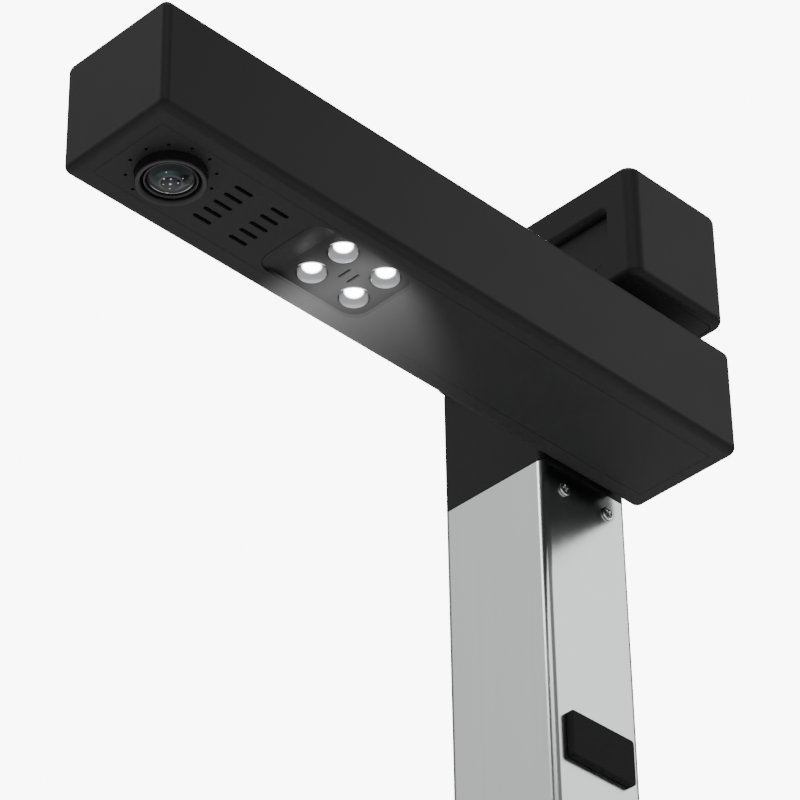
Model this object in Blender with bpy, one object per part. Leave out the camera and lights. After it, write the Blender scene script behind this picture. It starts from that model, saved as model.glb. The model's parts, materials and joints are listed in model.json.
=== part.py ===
"""Overhead book scanner: a weighted base, a square mast, a camera arm and a display head.

Metres, +Z up.  The arm points towards -Y, the mast stands at the rear left and the arm hangs
on its right side.  The origin is at the middle of the footprint, on the table.
"""
import math

import bmesh
import bpy
from mathutils import Matrix, Vector

# ---------------------------------------------------------------- driving dimensions
GAP = 0.0003                  # running gap between pieces that touch
PAST = 0.0010                 # how far a cutter reaches past what it cuts
SINK = 0.0005                 # how far a welded detail is sunk into its carrier

# arm: a long square-section housing
ARM_WIDTH = 0.0625
ARM_LENGTH = 0.3510
ARM_HEIGHT = 0.0579
ARM_UNDERSIDE = 0.2680        # height of the arm's underside above the table
ARM_LONG_RADIUS = 0.0043
ARM_END_RADIUS = 0.0037
ARM_WALL = 0.0022

# mast: a square aluminium tube, its rear face in line with the arm's rear end
MAST_WIDTH = 0.0631
MAST_DEPTH = 0.0568
MAST_RADIUS = 0.0041
MAST_WALL = 0.0020
MAST_TOP_OVER_ARM = 0.0053    # silver tube's top edge above the arm's underside
ARM_TO_MAST = 0.0060          # space between the arm's side and the mast

# base
BASE_SIDE_MARGIN = 0.0067     # base beyond the mast's and the arm's outer sides
BASE_DEPTH = 0.1480
BASE_HEIGHT = 0.0250
BASE_SETBACK = 0.0220         # base rear behind the mast's rear face
BASE_RADIUS = 0.0140
BASE_WALL = 0.0025
BASE_EDGE_RADIUS = 0.0030
FOOT_HEIGHT = 0.0030
FOOT_RADIUS = 0.0070
FOOT_INSET = 0.0175
FOOT_CHAMFER = 0.0008
FOOT_PEG_RADIUS = 0.0020
FOOT_STEPS = 20
PLATE_THICKNESS = 0.0020
BALLAST_THICKNESS = 0.0060
BALLAST_MARGIN = 0.0030
POST_RADIUS = 0.0040
POST_CLEARANCE = 0.0010       # round a post in the ballast
POST_STEPS = 16
BASE_SCREW_LENGTH = 0.0100
MAST_FOOT_HEIGHT = 0.0300     # block that fills the mast's lower end
MAST_FOOT_WALL = 0.0070

# display head
HEAD_WIDTH = 0.1311
HEAD_DEPTH = 0.0635
HEAD_HEIGHT = 0.0641
HEAD_OVER_ARM = 0.0149        # space between the arm's top and the head
HEAD_RADIUS = 0.0070
HEAD_EDGE_RADIUS = 0.0040
HEAD_WALL = 0.0024
HEAD_FRONT_WALL = 0.0080
WINDOW_MARGIN = 0.0161        # head's side to the window
WINDOW_HEIGHT = 0.0318
WINDOW_BOTTOM = 0.0123        # above the head's underside
WINDOW_TOP_DEPTH = 0.0042     # the window leans back: deepest at its top
WINDOW_RADIUS = 0.0040
WINDOW_LOW_RADIUS = 0.0090
GLASS_THICKNESS = 0.0012
LCD_WIDTH = 0.0560
LCD_HEIGHT = 0.0250
LCD_THICKNESS = 0.0026
LCD_BOARD_INSET = 0.0010
LCD_BEHIND = 0.0020           # how far the display's opening runs on behind the front wall
HEAD_FLOOR_THICKNESS = 0.0030
HEAD_FLOOR_MARGIN = 0.0010    # from the head's rounded lower edge to its floor panel
HEAD_FLOOR_RADIUS = 0.0040

# underside cover
COVER_WIDTH = 0.0429
COVER_END_MARGIN = 0.0083
COVER_THICKNESS = 0.0020
COVER_RADIUS = 0.0015

# camera
LENS_FROM_FRONT = 0.0325
LENS_RIM_RADIUS = 0.0150
LENS_RIM_DROP = 0.0050
LENS_GROOVE_RADIUS = 0.01245
LENS_GLASS_RADIUS = 0.0101
LENS_INNER_RADIUS = 0.00465
LENS_FLANGE_RADIUS = 0.0172
LENS_BODY_RADIUS = 0.0120
LENS_BODY_HEIGHT = 0.0240
RING_HOLES = 12
RING_HOLE_CIRCLE = 0.0187
RING_HOLE_RADIUS = 0.00065
LENS_FLANGE = 0.0025
LENS_SHOULDER = 0.0042        # depth of the groove round the front glass
LENS_BULGE = 0.0034
CAMERA_BOARD = 0.0360
SENSOR_SIZE = 0.0085
SENSOR_THICKNESS = 0.0015

# vent slots
SLOTS_PER_ROW = 5
SLOT_PITCH = 0.0063
SLOT_LENGTH = 0.0096
SLOT_WIDTH = 0.0018
SLOT_ROWS_FROM_FRONT = (0.0614, 0.0818)

# lamp panel
LAMP_WIDTH = 0.0390
LAMP_LENGTH = 0.0600
LAMP_FROM_FRONT = 0.1269
LAMP_RADIUS = 0.0085
LAMP_RAMP = 0.0140
LAMP_PLATE = 0.0020
LED_SPACING_X = 0.0192
LED_SPACING_Y = 0.0250
LEDS_FROM_FRONT = 0.1343
LED_RADIUS = 0.0063
LED_BULGE = 0.0016
LED_CHAMFER = 0.0009
SLIT_LENGTH = 0.0080
SLIT_WIDTH = 0.0012
SLIT_SPACING = 0.0051
LAMP_RIM = 0.0040             # how far the lamp panel runs on behind the cover
LAMP_SIDE_CLEARANCE = 0.0005
LED_COLLAR = 0.0030
LED_BOARD_MARGIN = 0.0080
LASER_WIDTH = 0.0060
LASER_DEPTH = 0.0040

# controls, sockets and fixings
PANEL_WIDTH = 0.0800
PANEL_DEPTH = 0.0260
PANEL_THICKNESS = 0.0012
PANEL_FROM_FRONT = 0.0210     # base front to the controls' middle
PANEL_RADIUS = 0.0050
BUTTON_TRAVEL = 0.0008
BUTTON_STAND = 0.0010
BUTTON_FLANGE = 0.0011
SCAN_BUTTON_RADIUS = 0.0090
SMALL_BUTTON_RADIUS = 0.0050
BUTTON_SPACING = 0.0270
BUTTON_LIP = 0.0014           # flange that keeps a button under the base's ceiling
BUTTON_EDGE = 0.0005
BUTTON_DISH = 0.0004
STEM_RADIUS = 0.0022
SWITCH_WIDTH = 0.0060
SWITCH_HEIGHT = 0.0045
BOARD_THICKNESS = 0.0016
BOARD_CLEARANCE = 0.0005      # main board to the base's rear wall and its screw post
BOARD_EDGE = 0.0012           # main board beyond the outer sockets
BOARD_REACH = 0.0550
PORT_SPACING = 0.0190
PORT_LENGTH = 0.0120
PORT_DEPTH = 0.0090
PORT_WALL = 0.0007
PORT_SETBACK = 0.0005         # sockets behind the base's rear face
PORT_CLEARANCE = 0.0004
DC_WIDTH = 0.0090
DC_HEIGHT = 0.0095
DC_BORE_RADIUS = 0.0032
DC_PIN_RADIUS = 0.0011
USB_WIDTH = 0.0130
HDMI_WIDTH = 0.0150
PLUG_HEIGHT = 0.0058          # of the USB and HDMI sockets
TONGUE_INSET = 0.0022
TONGUE_HEIGHT = 0.0012
SOCKET_LENGTH = 0.0364
SOCKET_HEIGHT = 0.0190
SOCKET_BELOW_ARM = 0.1377
SOCKET_RADIUS = 0.0020
SOCKET_DEPTH = 0.0110
SOCKET_RIM = 0.0030
SOCKET_LIP = 0.0010           # ledge between the mast's opening and the socket's recess
CONTACT_RADIUS = 0.0012
CONTACT_PITCH = 0.0060
CAP_LENGTH = 0.0406
CAP_HEIGHT = 0.0231
CAP_RADIUS = 0.0018
CAP_THICKNESS = 0.0034
CAP_PLUG = 0.0040             # depth of the socket's recess
CAP_PLUG_REACH = 0.0018       # how far the cap's plug enters it
CAP_EDGE_RADIUS = 0.0008
SCREW_RADIUS = 0.0015
SCREW_HEAD_RADIUS = 0.0030
SCREW_HEAD_HEIGHT = 0.0016
MAST_SCREW_SPACING = 0.0290
MAST_SCREW_BELOW_ARM = 0.0055
MAST_SCREW_LENGTH = 0.0050
SPIGOT_LENGTH = 0.0200
SPIGOT_WALL = 0.0030
SPIGOT_BORE_RADIUS = 0.0030
ARM_BOLT_RADIUS = 0.0025
ARM_BOLT_HEAD_RADIUS = 0.0045
ARM_BOLT_HEAD_HEIGHT = 0.0030
ARM_BOLT_SPACING = 0.0300
ARM_BOLT_SOCKET = 0.0022
MOUNT_SIDE_MARGIN = 0.0060    # joint block inside the mast's depth
MOUNT_HEIGHT_MARGIN = 0.0090
MOUNT_RADIUS = 0.0040
RAIL_END = 0.0060
RAIL_HEIGHT = 0.0340
RAIL_THICKNESS = 0.0025
CABLE_RADIUS = 0.0020
CABLE_SLOT = 0.0080
SCREW_STEPS = 14              # facets round a screw
HOLE_STEPS = 10               # facets round a small hole
BUTTON_STEPS = 24
LENS_STEPS = 32
LED_STEPS = 20
BOLT_STEPS = 12
PASSAGE_RADIUS = 0.0060       # hole for the cable between the mast and the arm

# ---------------------------------------------------------------- places worked out from them
LENGTH = ARM_LENGTH + BASE_SETBACK
REAR_Y = LENGTH / 2
ARM_REAR_Y = REAR_Y - BASE_SETBACK
ARM_FRONT_Y = ARM_REAR_Y - ARM_LENGTH
ARM_TOP = ARM_UNDERSIDE + ARM_HEIGHT
SPREAD = MAST_WIDTH + ARM_TO_MAST + ARM_WIDTH
BASE_WIDTH = SPREAD + 2 * BASE_SIDE_MARGIN
MAST_LEFT_X = -SPREAD / 2
MAST_RIGHT_X = MAST_LEFT_X + MAST_WIDTH
MAST_X = (MAST_LEFT_X + MAST_RIGHT_X) / 2
MAST_Y = ARM_REAR_Y - MAST_DEPTH / 2
MAST_TOP = ARM_UNDERSIDE + MAST_TOP_OVER_ARM
ARM_LEFT_X = MAST_RIGHT_X + ARM_TO_MAST
ARM_X = ARM_LEFT_X + ARM_WIDTH / 2
BASE_FRONT_Y = REAR_Y - BASE_DEPTH
BASE_Y = (REAR_Y + BASE_FRONT_Y) / 2
BASE_BOTTOM = FOOT_HEIGHT
BASE_TOP = BASE_BOTTOM + BASE_HEIGHT
PLATE_TOP = BASE_BOTTOM + PLATE_THICKNESS
BALLAST_BOTTOM = PLATE_TOP + GAP
BALLAST_TOP = BALLAST_BOTTOM + BALLAST_THICKNESS
MAST_BOTTOM = BALLAST_TOP + GAP
HEAD_BOTTOM = ARM_TOP + HEAD_OVER_ARM
HEAD_TOP = HEAD_BOTTOM + HEAD_HEIGHT
HEAD_X = MAST_LEFT_X + HEAD_WIDTH / 2
HEAD_Y = ARM_REAR_Y - HEAD_DEPTH / 2
HEAD_FRONT_Y = ARM_REAR_Y - HEAD_DEPTH
LENS_Y = ARM_FRONT_Y + LENS_FROM_FRONT
LAMP_Y = ARM_FRONT_Y + LAMP_FROM_FRONT
LEDS_Y = ARM_FRONT_Y + LEDS_FROM_FRONT
LAMP_FLOOR = ARM_UNDERSIDE + COVER_THICKNESS + GAP
SOCKET_Z = ARM_UNDERSIDE - SOCKET_BELOW_ARM
MAST_SCREW_Z = ARM_UNDERSIDE - MAST_SCREW_BELOW_ARM
PANEL_Y = BASE_FRONT_Y + PANEL_FROM_FRONT
SHELL_CEILING = BASE_TOP - BASE_WALL


# ---------------------------------------------------------------- helpers
def clear_scene():
    for item in list(bpy.data.objects):
        bpy.data.objects.remove(item, do_unlink=True)


def make_material(name, colour, roughness, metallic=0.0):
    mat = bpy.data.materials.new(name)
    mat.use_nodes = True
    shader = mat.node_tree.nodes["Principled BSDF"]
    shader.inputs["Base Color"].default_value = (*colour, 1.0)
    shader.inputs["Roughness"].default_value = roughness
    shader.inputs["Metallic"].default_value = metallic
    return mat


def rounded_rect(cu, cv, width, height, radius, steps=5, low_radius=None):
    """Outline of a rectangle with round corners, counter-clockwise."""
    points = []
    corners = ((1, 1, 0), (-1, 1, 90), (-1, -1, 180), (1, -1, 270))
    top = min(radius, width / 2, height / 2)
    low = top if low_radius is None else min(low_radius, width / 2, height / 2)
    for su, sv, start in corners:
        radius = top if sv > 0 else low
        mu = cu + su * (width / 2 - radius)
        mv = cv + sv * (height / 2 - radius)
        for k in range(steps + 1):
            angle = math.radians(start + 90 * k / steps)
            points.append((mu + radius * math.cos(angle), mv + radius * math.sin(angle)))
    return tidy_outline(points)


def circle(cu, cv, radius, steps=24):
    turn = 2 * math.pi / steps
    return [(cu + radius * math.cos(k * turn), cv + radius * math.sin(k * turn)) for k in range(steps)]


def rectangle(u0, v0, u1, v1):
    return [(u0, v0), (u1, v0), (u1, v1), (u0, v1)]


def tidy_outline(points):
    """Drop a point that repeats the one before it."""
    kept = []
    for point in points:
        if not kept or math.dist(point, kept[-1]) > 1e-6:
            kept.append(point)
    if math.dist(kept[0], kept[-1]) < 1e-6:
        kept.pop()
    return kept


def place_point(axis, u, v, w):
    if axis == "x":
        return Vector((w, u, v))
    if axis == "y":
        return Vector((u, w, v))
    return Vector((u, v, w))


def prism(axis, outline, start, end):
    """Outline extruded along one axis: (y, z) along x, (x, z) along y, (x, y) along z."""
    bm = bmesh.new()
    low = [bm.verts.new(place_point(axis, u, v, start)) for u, v in outline]
    high = [bm.verts.new(place_point(axis, u, v, end)) for u, v in outline]
    bm.faces.new(low[::-1])
    bm.faces.new(high)
    for k in range(len(outline)):
        n = (k + 1) % len(outline)
        bm.faces.new((low[k], low[n], high[n], high[k]))
    bmesh.ops.recalc_face_normals(bm, faces=bm.faces)
    return bm


def box(x0, x1, y0, y1, z0, z1):
    return prism("z", rectangle(x0, y0, x1, y1), z0, z1)


def lathe(profile, steps=32, axis="z", centre=(0.0, 0.0, 0.0), closed=False):
    """Turn (radius, height) points about an axis through centre."""
    bm = bmesh.new()
    rings = []
    for radius, height in profile:
        if radius < 1e-7:
            rings.append([bm.verts.new((0.0, 0.0, height))])
            continue
        turn = 2 * math.pi / steps
        rings.append([bm.verts.new((radius * math.cos(k * turn), radius * math.sin(k * turn), height))
                      for k in range(steps)])
    pairs = list(zip(rings, rings[1:]))
    if closed:
        pairs.append((rings[-1], rings[0]))
    for lower, upper in pairs:
        for k in range(steps):
            n = (k + 1) % steps
            corners = [lower[k % len(lower)], lower[n % len(lower)],
                       upper[n % len(upper)], upper[k % len(upper)]]
            corners = list(dict.fromkeys(corners))
            if len(corners) > 2:
                bm.faces.new(corners)
    turns = {"x": Matrix.Rotation(math.radians(90), 3, "Y"), "y": Matrix.Rotation(math.radians(-90), 3, "X")}
    if axis in turns:
        bmesh.ops.rotate(bm, verts=bm.verts, matrix=turns[axis])
    bmesh.ops.translate(bm, verts=bm.verts, vec=Vector(centre))
    bmesh.ops.recalc_face_normals(bm, faces=bm.faces)
    return bm


def cylinder(radius, z0, z1, x, y, steps=24):
    return prism("z", circle(x, y, radius, steps), z0, z1)


def bevel_ends(bm, axis, places, radius, steps):
    """Round every edge that lies in one of the planes across the axis."""
    index = "xyz".index(axis)
    edges = []
    for edge in bm.edges:
        for place in places:
            if all(abs(v.co[index] - place) < 1e-6 for v in edge.verts):
                edges.append(edge)
    bmesh.ops.bevel(bm, geom=edges, offset=radius, offset_type="OFFSET", segments=steps,
                    profile=0.5, affect="EDGES", clamp_overlap=True)
    return bm


def joined(*shapes):
    """One mesh with several separate shapes, for a cutter."""
    bm = bmesh.new()
    for shape in shapes:
        scratch = bpy.data.meshes.new("scratch")
        shape.to_mesh(scratch)
        shape.free()
        bm.from_mesh(scratch)
        bpy.data.meshes.remove(scratch)
    return bm


def add_object(name, bm, mat, origin=(0.0, 0.0, 0.0), sharp=35.0):
    """Turn a bmesh into a named object whose origin is at the given point."""
    bmesh.ops.translate(bm, verts=bm.verts, vec=-Vector(origin))
    mesh = bpy.data.meshes.new(name)
    bm.to_mesh(mesh)
    bm.free()
    mesh.materials.append(mat)
    mesh.shade_smooth()
    mesh.set_sharp_from_angle(angle=math.radians(sharp))
    item = bpy.data.objects.new(name, mesh)
    item.location = origin
    bpy.context.scene.collection.objects.link(item)
    return item


def boolean(item, shape, operation):
    """Cut a shape from an object, or weld it on, with a hidden tool object."""
    mesh = bpy.data.meshes.new(item.name + "_tool")
    shape.to_mesh(mesh)
    shape.free()
    tool = bpy.data.objects.new(item.name + "_tool", mesh)
    tool.hide_render = True
    tool.display_type = "WIRE"
    bpy.context.scene.collection.objects.link(tool)
    step = item.modifiers.new(operation.lower(), "BOOLEAN")
    step.operation = operation
    step.solver = "EXACT"
    step.object = tool
    return item


def cut(item, *shapes):
    return boolean(item, joined(*shapes), "DIFFERENCE")


def weld(item, *shapes):
    return boolean(item, joined(*shapes), "UNION")


def foot_places():
    for sx in (-1, 1):
        for sy in (-1, 1):
            yield (sx * (BASE_WIDTH / 2 - FOOT_INSET), BASE_Y + sy * (BASE_DEPTH / 2 - FOOT_INSET))


def post_x():
    return BASE_WIDTH / 2 - BASE_WALL - POST_RADIUS - GAP


def post_places():
    """Screw posts against the side walls: one pair behind the mast, one pair ahead of it."""
    x = post_x()
    behind_mast = (ARM_REAR_Y + REAR_Y - BASE_WALL) / 2
    for y in (BASE_FRONT_Y + 2 * FOOT_INSET, behind_mast):
        yield (-x, y)
        yield (x, y)


def cross_recess(axis, centre):
    """Two crossing bars that sink the driver recess into a screw head."""
    arm = SCREW_HEAD_RADIUS * 0.62
    bar = SCREW_HEAD_RADIUS * 0.17
    depth = SCREW_HEAD_HEIGHT * 0.62
    shape = prism(axis, [(-bar, -arm), (bar, -arm), (bar, -bar), (arm, -bar), (arm, bar), (bar, bar),
                         (bar, arm), (-bar, arm), (-bar, bar), (-arm, bar), (-arm, -bar), (-bar, -bar)],
                  -depth, depth)
    bmesh.ops.translate(shape, verts=shape.verts, vec=Vector(centre))
    return shape


def pan_screw(name, mat, axis, seat, outward, length):
    """Pan-head cross-recess screw: seat is under the head, outward is the head's side (+1 or -1)."""
    r, h, s = SCREW_HEAD_RADIUS, SCREW_HEAD_HEIGHT, SCREW_RADIUS
    profile = [(0.0, -length), (s, -length), (s, 0.0), (r, 0.0), (r, 0.45 * h),
               (0.88 * r, 0.82 * h), (0.62 * r, h), (0.0, h)]
    profile = [(radius, outward * height) for radius, height in profile]
    item = add_object(name, lathe(profile, SCREW_STEPS, axis, seat), mat)
    top = Vector(seat) + place_point(axis, 0.0, 0.0, outward * h)
    return cut(item, cross_recess(axis, top))


# ---------------------------------------------------------------- base
def build_base(mats):
    inner_w = BASE_WIDTH - 2 * BASE_WALL
    inner_d = BASE_DEPTH - 2 * BASE_WALL
    outline = rounded_rect(0.0, BASE_Y, BASE_WIDTH, BASE_DEPTH, BASE_RADIUS, 6)
    body = prism("z", outline, BASE_BOTTOM, BASE_TOP)
    bevel_ends(body, "z", (BASE_TOP,), BASE_EDGE_RADIUS, 3)
    shell = add_object("base_shell", body, mats["black"])
    inside = rounded_rect(0.0, BASE_Y, inner_w, inner_d, BASE_RADIUS - BASE_WALL, 6)
    cut(shell, prism("z", inside, BASE_BOTTOM - PAST, SHELL_CEILING))
    posts = [cylinder(POST_RADIUS, PLATE_TOP + GAP, SHELL_CEILING + PAST, x, y, POST_STEPS)
             for x, y in post_places()]
    weld(shell, *posts)
    hole_end = BASE_BOTTOM + BASE_SCREW_LENGTH + PAST
    cut(shell, *[cylinder(SCREW_RADIUS + GAP, BASE_BOTTOM, hole_end, x, y, HOLE_STEPS)
                 for x, y in post_places()])
    mast_hole = rounded_rect(MAST_X, MAST_Y, MAST_WIDTH + 2 * GAP, MAST_DEPTH + 2 * GAP, MAST_RADIUS + GAP)
    panel_pocket = rounded_rect(0.0, PANEL_Y, PANEL_WIDTH + 2 * GAP, PANEL_DEPTH + 2 * GAP, PANEL_RADIUS + GAP)
    cut(shell, prism("z", mast_hole, SHELL_CEILING - PAST, BASE_TOP + PAST),
        prism("z", panel_pocket, BASE_TOP - PANEL_THICKNESS - GAP, BASE_TOP + PAST))
    cut(shell, *[cylinder(radius + GAP, SHELL_CEILING - PAST, BASE_TOP - PANEL_THICKNESS, x, PANEL_Y,
                          BUTTON_STEPS) for _, radius, x in button_list()])
    cut(shell, *port_cutouts())

    plate = add_object("base_plate", prism("z", rounded_rect(0.0, BASE_Y, inner_w - 2 * GAP, inner_d - 2 * GAP,
                       BASE_RADIUS - BASE_WALL - GAP, 6), BASE_BOTTOM, PLATE_TOP), mats["steel"])
    cut(plate, *[cylinder(SCREW_RADIUS + GAP, 0.0, PLATE_TOP + PAST, x, y, HOLE_STEPS)
                for x, y in post_places()])
    cut(plate, *[cylinder(FOOT_PEG_RADIUS + GAP, 0.0, PLATE_TOP + PAST, x, y, HOLE_STEPS)
                for x, y in foot_places()])

    ballast = add_object("ballast_plate", prism("z", rounded_rect(0.0, BASE_Y, inner_w - 2 * BALLAST_MARGIN,
                         inner_d - 2 * BALLAST_MARGIN, BASE_RADIUS - BASE_WALL, 4),
                         BALLAST_BOTTOM, BALLAST_TOP), mats["zinc"])
    cut(ballast, *[cylinder(POST_RADIUS + POST_CLEARANCE, 0.0, BALLAST_TOP + PAST, x, y, POST_STEPS)
                   for x, y in post_places()])

    for number, (x, y) in enumerate(foot_places(), 1):
        profile = [(0.0, 0.0), (FOOT_RADIUS - FOOT_CHAMFER, 0.0), (FOOT_RADIUS, FOOT_CHAMFER),
                   (FOOT_RADIUS, FOOT_HEIGHT - GAP), (FOOT_PEG_RADIUS, FOOT_HEIGHT - GAP),
                   (FOOT_PEG_RADIUS, PLATE_TOP), (0.0, PLATE_TOP)]
        add_object(f"foot_{number}", lathe(profile, FOOT_STEPS, "z", (x, y, 0.0)), mats["rubber"])
    for number, (x, y) in enumerate(post_places(), 1):
        seat = (x, y, BASE_BOTTOM - GAP)
        pan_screw(f"base_screw_{number}", mats["chrome"], "z", seat, -1, BASE_SCREW_LENGTH)


def button_list():
    """Name, radius and place along X of each push button."""
    return (("scan_button", SCAN_BUTTON_RADIUS, 0.0),
            ("power_button", SMALL_BUTTON_RADIUS, -BUTTON_SPACING),
            ("lamp_button", SMALL_BUTTON_RADIUS, BUTTON_SPACING))


def build_controls(mats):
    panel = add_object("control_panel", prism("z", rounded_rect(0.0, PANEL_Y, PANEL_WIDTH, PANEL_DEPTH,
                       PANEL_RADIUS), BASE_TOP - PANEL_THICKNESS, BASE_TOP), mats["gloss"])
    below = BASE_TOP - PANEL_THICKNESS - PAST
    cut(panel, *[cylinder(radius + GAP, below, BASE_TOP + PAST, x, PANEL_Y, BUTTON_STEPS)
                 for _, radius, x in button_list()])
    board_top = BALLAST_TOP + GAP + BOARD_THICKNESS
    switch = SWITCH_WIDTH / 2
    board = add_object("button_board", box(-PANEL_WIDTH / 2, PANEL_WIDTH / 2, PANEL_Y - PANEL_DEPTH / 2,
                       PANEL_Y + PANEL_DEPTH / 2, BALLAST_TOP + GAP, board_top), mats["board"])
    weld(board, *[box(x - switch, x + switch, PANEL_Y - switch, PANEL_Y + switch, board_top - SINK,
                      board_top + SWITCH_HEIGHT) for _, _, x in button_list()])
    stem_bottom = board_top + SWITCH_HEIGHT + BUTTON_TRAVEL + GAP
    flange_top = SHELL_CEILING - GAP
    for name, radius, x in button_list():
        crown = BASE_TOP + BUTTON_STAND
        lip = radius + BUTTON_LIP
        profile = [(0.0, stem_bottom), (STEM_RADIUS, stem_bottom), (STEM_RADIUS, flange_top - BUTTON_FLANGE),
                   (lip, flange_top - BUTTON_FLANGE), (lip, flange_top), (radius, flange_top),
                   (radius, crown - BUTTON_EDGE), (radius - BUTTON_EDGE, crown),
                   (radius / 2, crown - 0.6 * BUTTON_DISH), (0.0, crown - BUTTON_DISH)]
        shape = lathe(profile, BUTTON_STEPS, "z", (x, PANEL_Y, 0.0))
        add_object(name, shape, mats["button"], origin=(x, PANEL_Y, crown))


def port_list():
    """Name, width, height and place along X of each rear socket."""
    post_side = post_x() - POST_RADIUS
    last = post_side - BOARD_CLEARANCE - BOARD_EDGE - HDMI_WIDTH / 2
    return (("dc_jack", DC_WIDTH, DC_HEIGHT, last - 2 * PORT_SPACING),
            ("usb_port", USB_WIDTH, PLUG_HEIGHT, last - PORT_SPACING),
            ("hdmi_port", HDMI_WIDTH, PLUG_HEIGHT, last))


def port_floor():
    return BALLAST_TOP + GAP + BOARD_THICKNESS + GAP


def port_cutouts():
    clear = PORT_CLEARANCE
    for _, width, height, x in port_list():
        yield box(x - width / 2 - clear, x + width / 2 + clear, REAR_Y - BASE_WALL - PAST, REAR_Y + PAST,
                  port_floor() - clear, port_floor() + height + clear)


def build_main_board(mats):
    left = port_list()[0][3] - port_list()[0][1] / 2 - BOARD_EDGE
    right = port_list()[-1][3] + port_list()[-1][1] / 2 + BOARD_EDGE
    rear = REAR_Y - BASE_WALL - BOARD_CLEARANCE
    low = BALLAST_TOP + GAP
    board = add_object("main_board", box(left, right, rear - BOARD_REACH, rear, low, low + BOARD_THICKNESS),
                       mats["board"])
    bottom = low + BOARD_THICKNESS - SINK
    # share of the width, share of the length, side and height of each chip
    chips = ((0.30, 0.45, 0.0140, 0.0022), (0.72, 0.40, 0.0090, 0.0018), (0.70, 0.68, 0.0060, 0.0040))
    for across, along, side, height in chips:
        x = left + across * (right - left)
        y = rear - BOARD_REACH + along * BOARD_REACH
        weld(board, box(x - side / 2, x + side / 2, y - side / 2, y + side / 2, bottom, bottom + height))
    for name, width, height, x in port_list():
        build_port(mats, name, width, height, x)


def build_port(mats, name, width, height, x):
    """One rear socket: a barrel jack, or a metal shell with a tongue."""
    front = REAR_Y - PORT_SETBACK
    floor = port_floor()
    middle = floor + height / 2
    back = front - PORT_DEPTH
    material = mats["black"] if name == "dc_jack" else mats["steel"]
    body = box(x - width / 2, x + width / 2, front - PORT_LENGTH, front, floor, floor + height)
    port = add_object(name, body, material)
    if name == "dc_jack":
        ring = lathe([(DC_PIN_RADIUS, -PORT_DEPTH), (DC_BORE_RADIUS, -PORT_DEPTH), (DC_BORE_RADIUS, PAST),
                      (DC_PIN_RADIUS, PAST)], BUTTON_STEPS, "y", (x, front, middle), closed=True)
        cut(port, ring)
        return
    cut(port, box(x - width / 2 + PORT_WALL, x + width / 2 - PORT_WALL, back, front + PAST,
                  floor + PORT_WALL, floor + height - PORT_WALL))
    tongue = width / 2 - TONGUE_INSET
    weld(port, box(x - tongue, x + tongue, back - SINK, front - PAST, middle - TONGUE_HEIGHT / 2,
                   middle + TONGUE_HEIGHT / 2))


# ---------------------------------------------------------------- mast
def build_mast(mats):
    outline = rounded_rect(MAST_X, MAST_Y, MAST_WIDTH, MAST_DEPTH, MAST_RADIUS)
    inner_w = MAST_WIDTH - 2 * MAST_WALL
    inner_d = MAST_DEPTH - 2 * MAST_WALL
    inside = rounded_rect(MAST_X, MAST_Y, inner_w, inner_d, MAST_RADIUS - MAST_WALL)
    tube = add_object("mast_tube", prism("z", outline, MAST_BOTTOM, MAST_TOP), mats["aluminium"])
    cut(tube, prism("z", inside, MAST_BOTTOM - PAST, MAST_TOP + PAST))
    window = rounded_rect(MAST_Y, SOCKET_Z, SOCKET_LENGTH, SOCKET_HEIGHT, SOCKET_RADIUS, 3)
    right_wall = (MAST_RIGHT_X - MAST_WALL - PAST, MAST_RIGHT_X + PAST)
    left_wall = (MAST_LEFT_X - PAST, MAST_LEFT_X + MAST_WALL + PAST)
    cut(tube, prism("x", window, *right_wall))
    for y in mast_screw_rows():
        for wall in (left_wall, right_wall):
            cut(tube, prism("x", circle(y, MAST_SCREW_Z, SCREW_RADIUS + GAP, HOLE_STEPS), *wall))

    way = cable_way()
    cut(tube, box(*way))
    foot_outline = rounded_rect(MAST_X, MAST_Y, inner_w - 2 * GAP, inner_d - 2 * GAP, MAST_RADIUS - MAST_WALL)
    foot_top = MAST_BOTTOM + MAST_FOOT_HEIGHT
    foot = add_object("mast_foot", prism("z", foot_outline, MAST_BOTTOM, foot_top), mats["zinc"])
    core = rounded_rect(MAST_X, MAST_Y, inner_w - 2 * MAST_FOOT_WALL, inner_d - 2 * MAST_FOOT_WALL,
                        SPIGOT_BORE_RADIUS, 3)
    cut(foot, prism("z", core, MAST_BOTTOM - PAST, foot_top + PAST))
    cut(foot, box(*way))

    neck = add_object("mast_neck", prism("z", outline, MAST_TOP + GAP, HEAD_BOTTOM - GAP), mats["black"])
    spigot_w = inner_w - 2 * GAP
    spigot_d = inner_d - 2 * GAP
    spigot = rounded_rect(MAST_X, MAST_Y, spigot_w, spigot_d, MAST_RADIUS - MAST_WALL - GAP)
    bore = rounded_rect(MAST_X, MAST_Y, spigot_w - 2 * SPIGOT_WALL, spigot_d - 2 * SPIGOT_WALL,
                        SPIGOT_BORE_RADIUS, 3)
    weld(neck, prism("z", spigot, MAST_TOP - SPIGOT_LENGTH, MAST_TOP + SPIGOT_WALL))
    cut(neck, prism("z", bore, MAST_TOP - SPIGOT_LENGTH - PAST, HEAD_BOTTOM + PAST))
    cut(neck, *[prism("x", circle(y, MAST_SCREW_Z, SCREW_RADIUS + GAP, HOLE_STEPS),
                      MAST_LEFT_X - PAST, MAST_RIGHT_X + PAST) for y in mast_screw_rows()])
    cut(neck, *[prism("x", circle(y, z, radius, BOLT_STEPS), MAST_X, MAST_RIGHT_X + PAST)
                for y, z, radius in arm_holes()])

    for side, outward in (("right", 1), ("left", -1)):
        face = MAST_RIGHT_X + GAP if outward > 0 else MAST_LEFT_X - GAP
        for number, y in enumerate(mast_screw_rows(), 1):
            pan_screw(f"mast_screw_{side}_{number}", mats["chrome"], "x", (face, y, MAST_SCREW_Z),
                      outward, MAST_SCREW_LENGTH)
    build_socket(mats)


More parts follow.
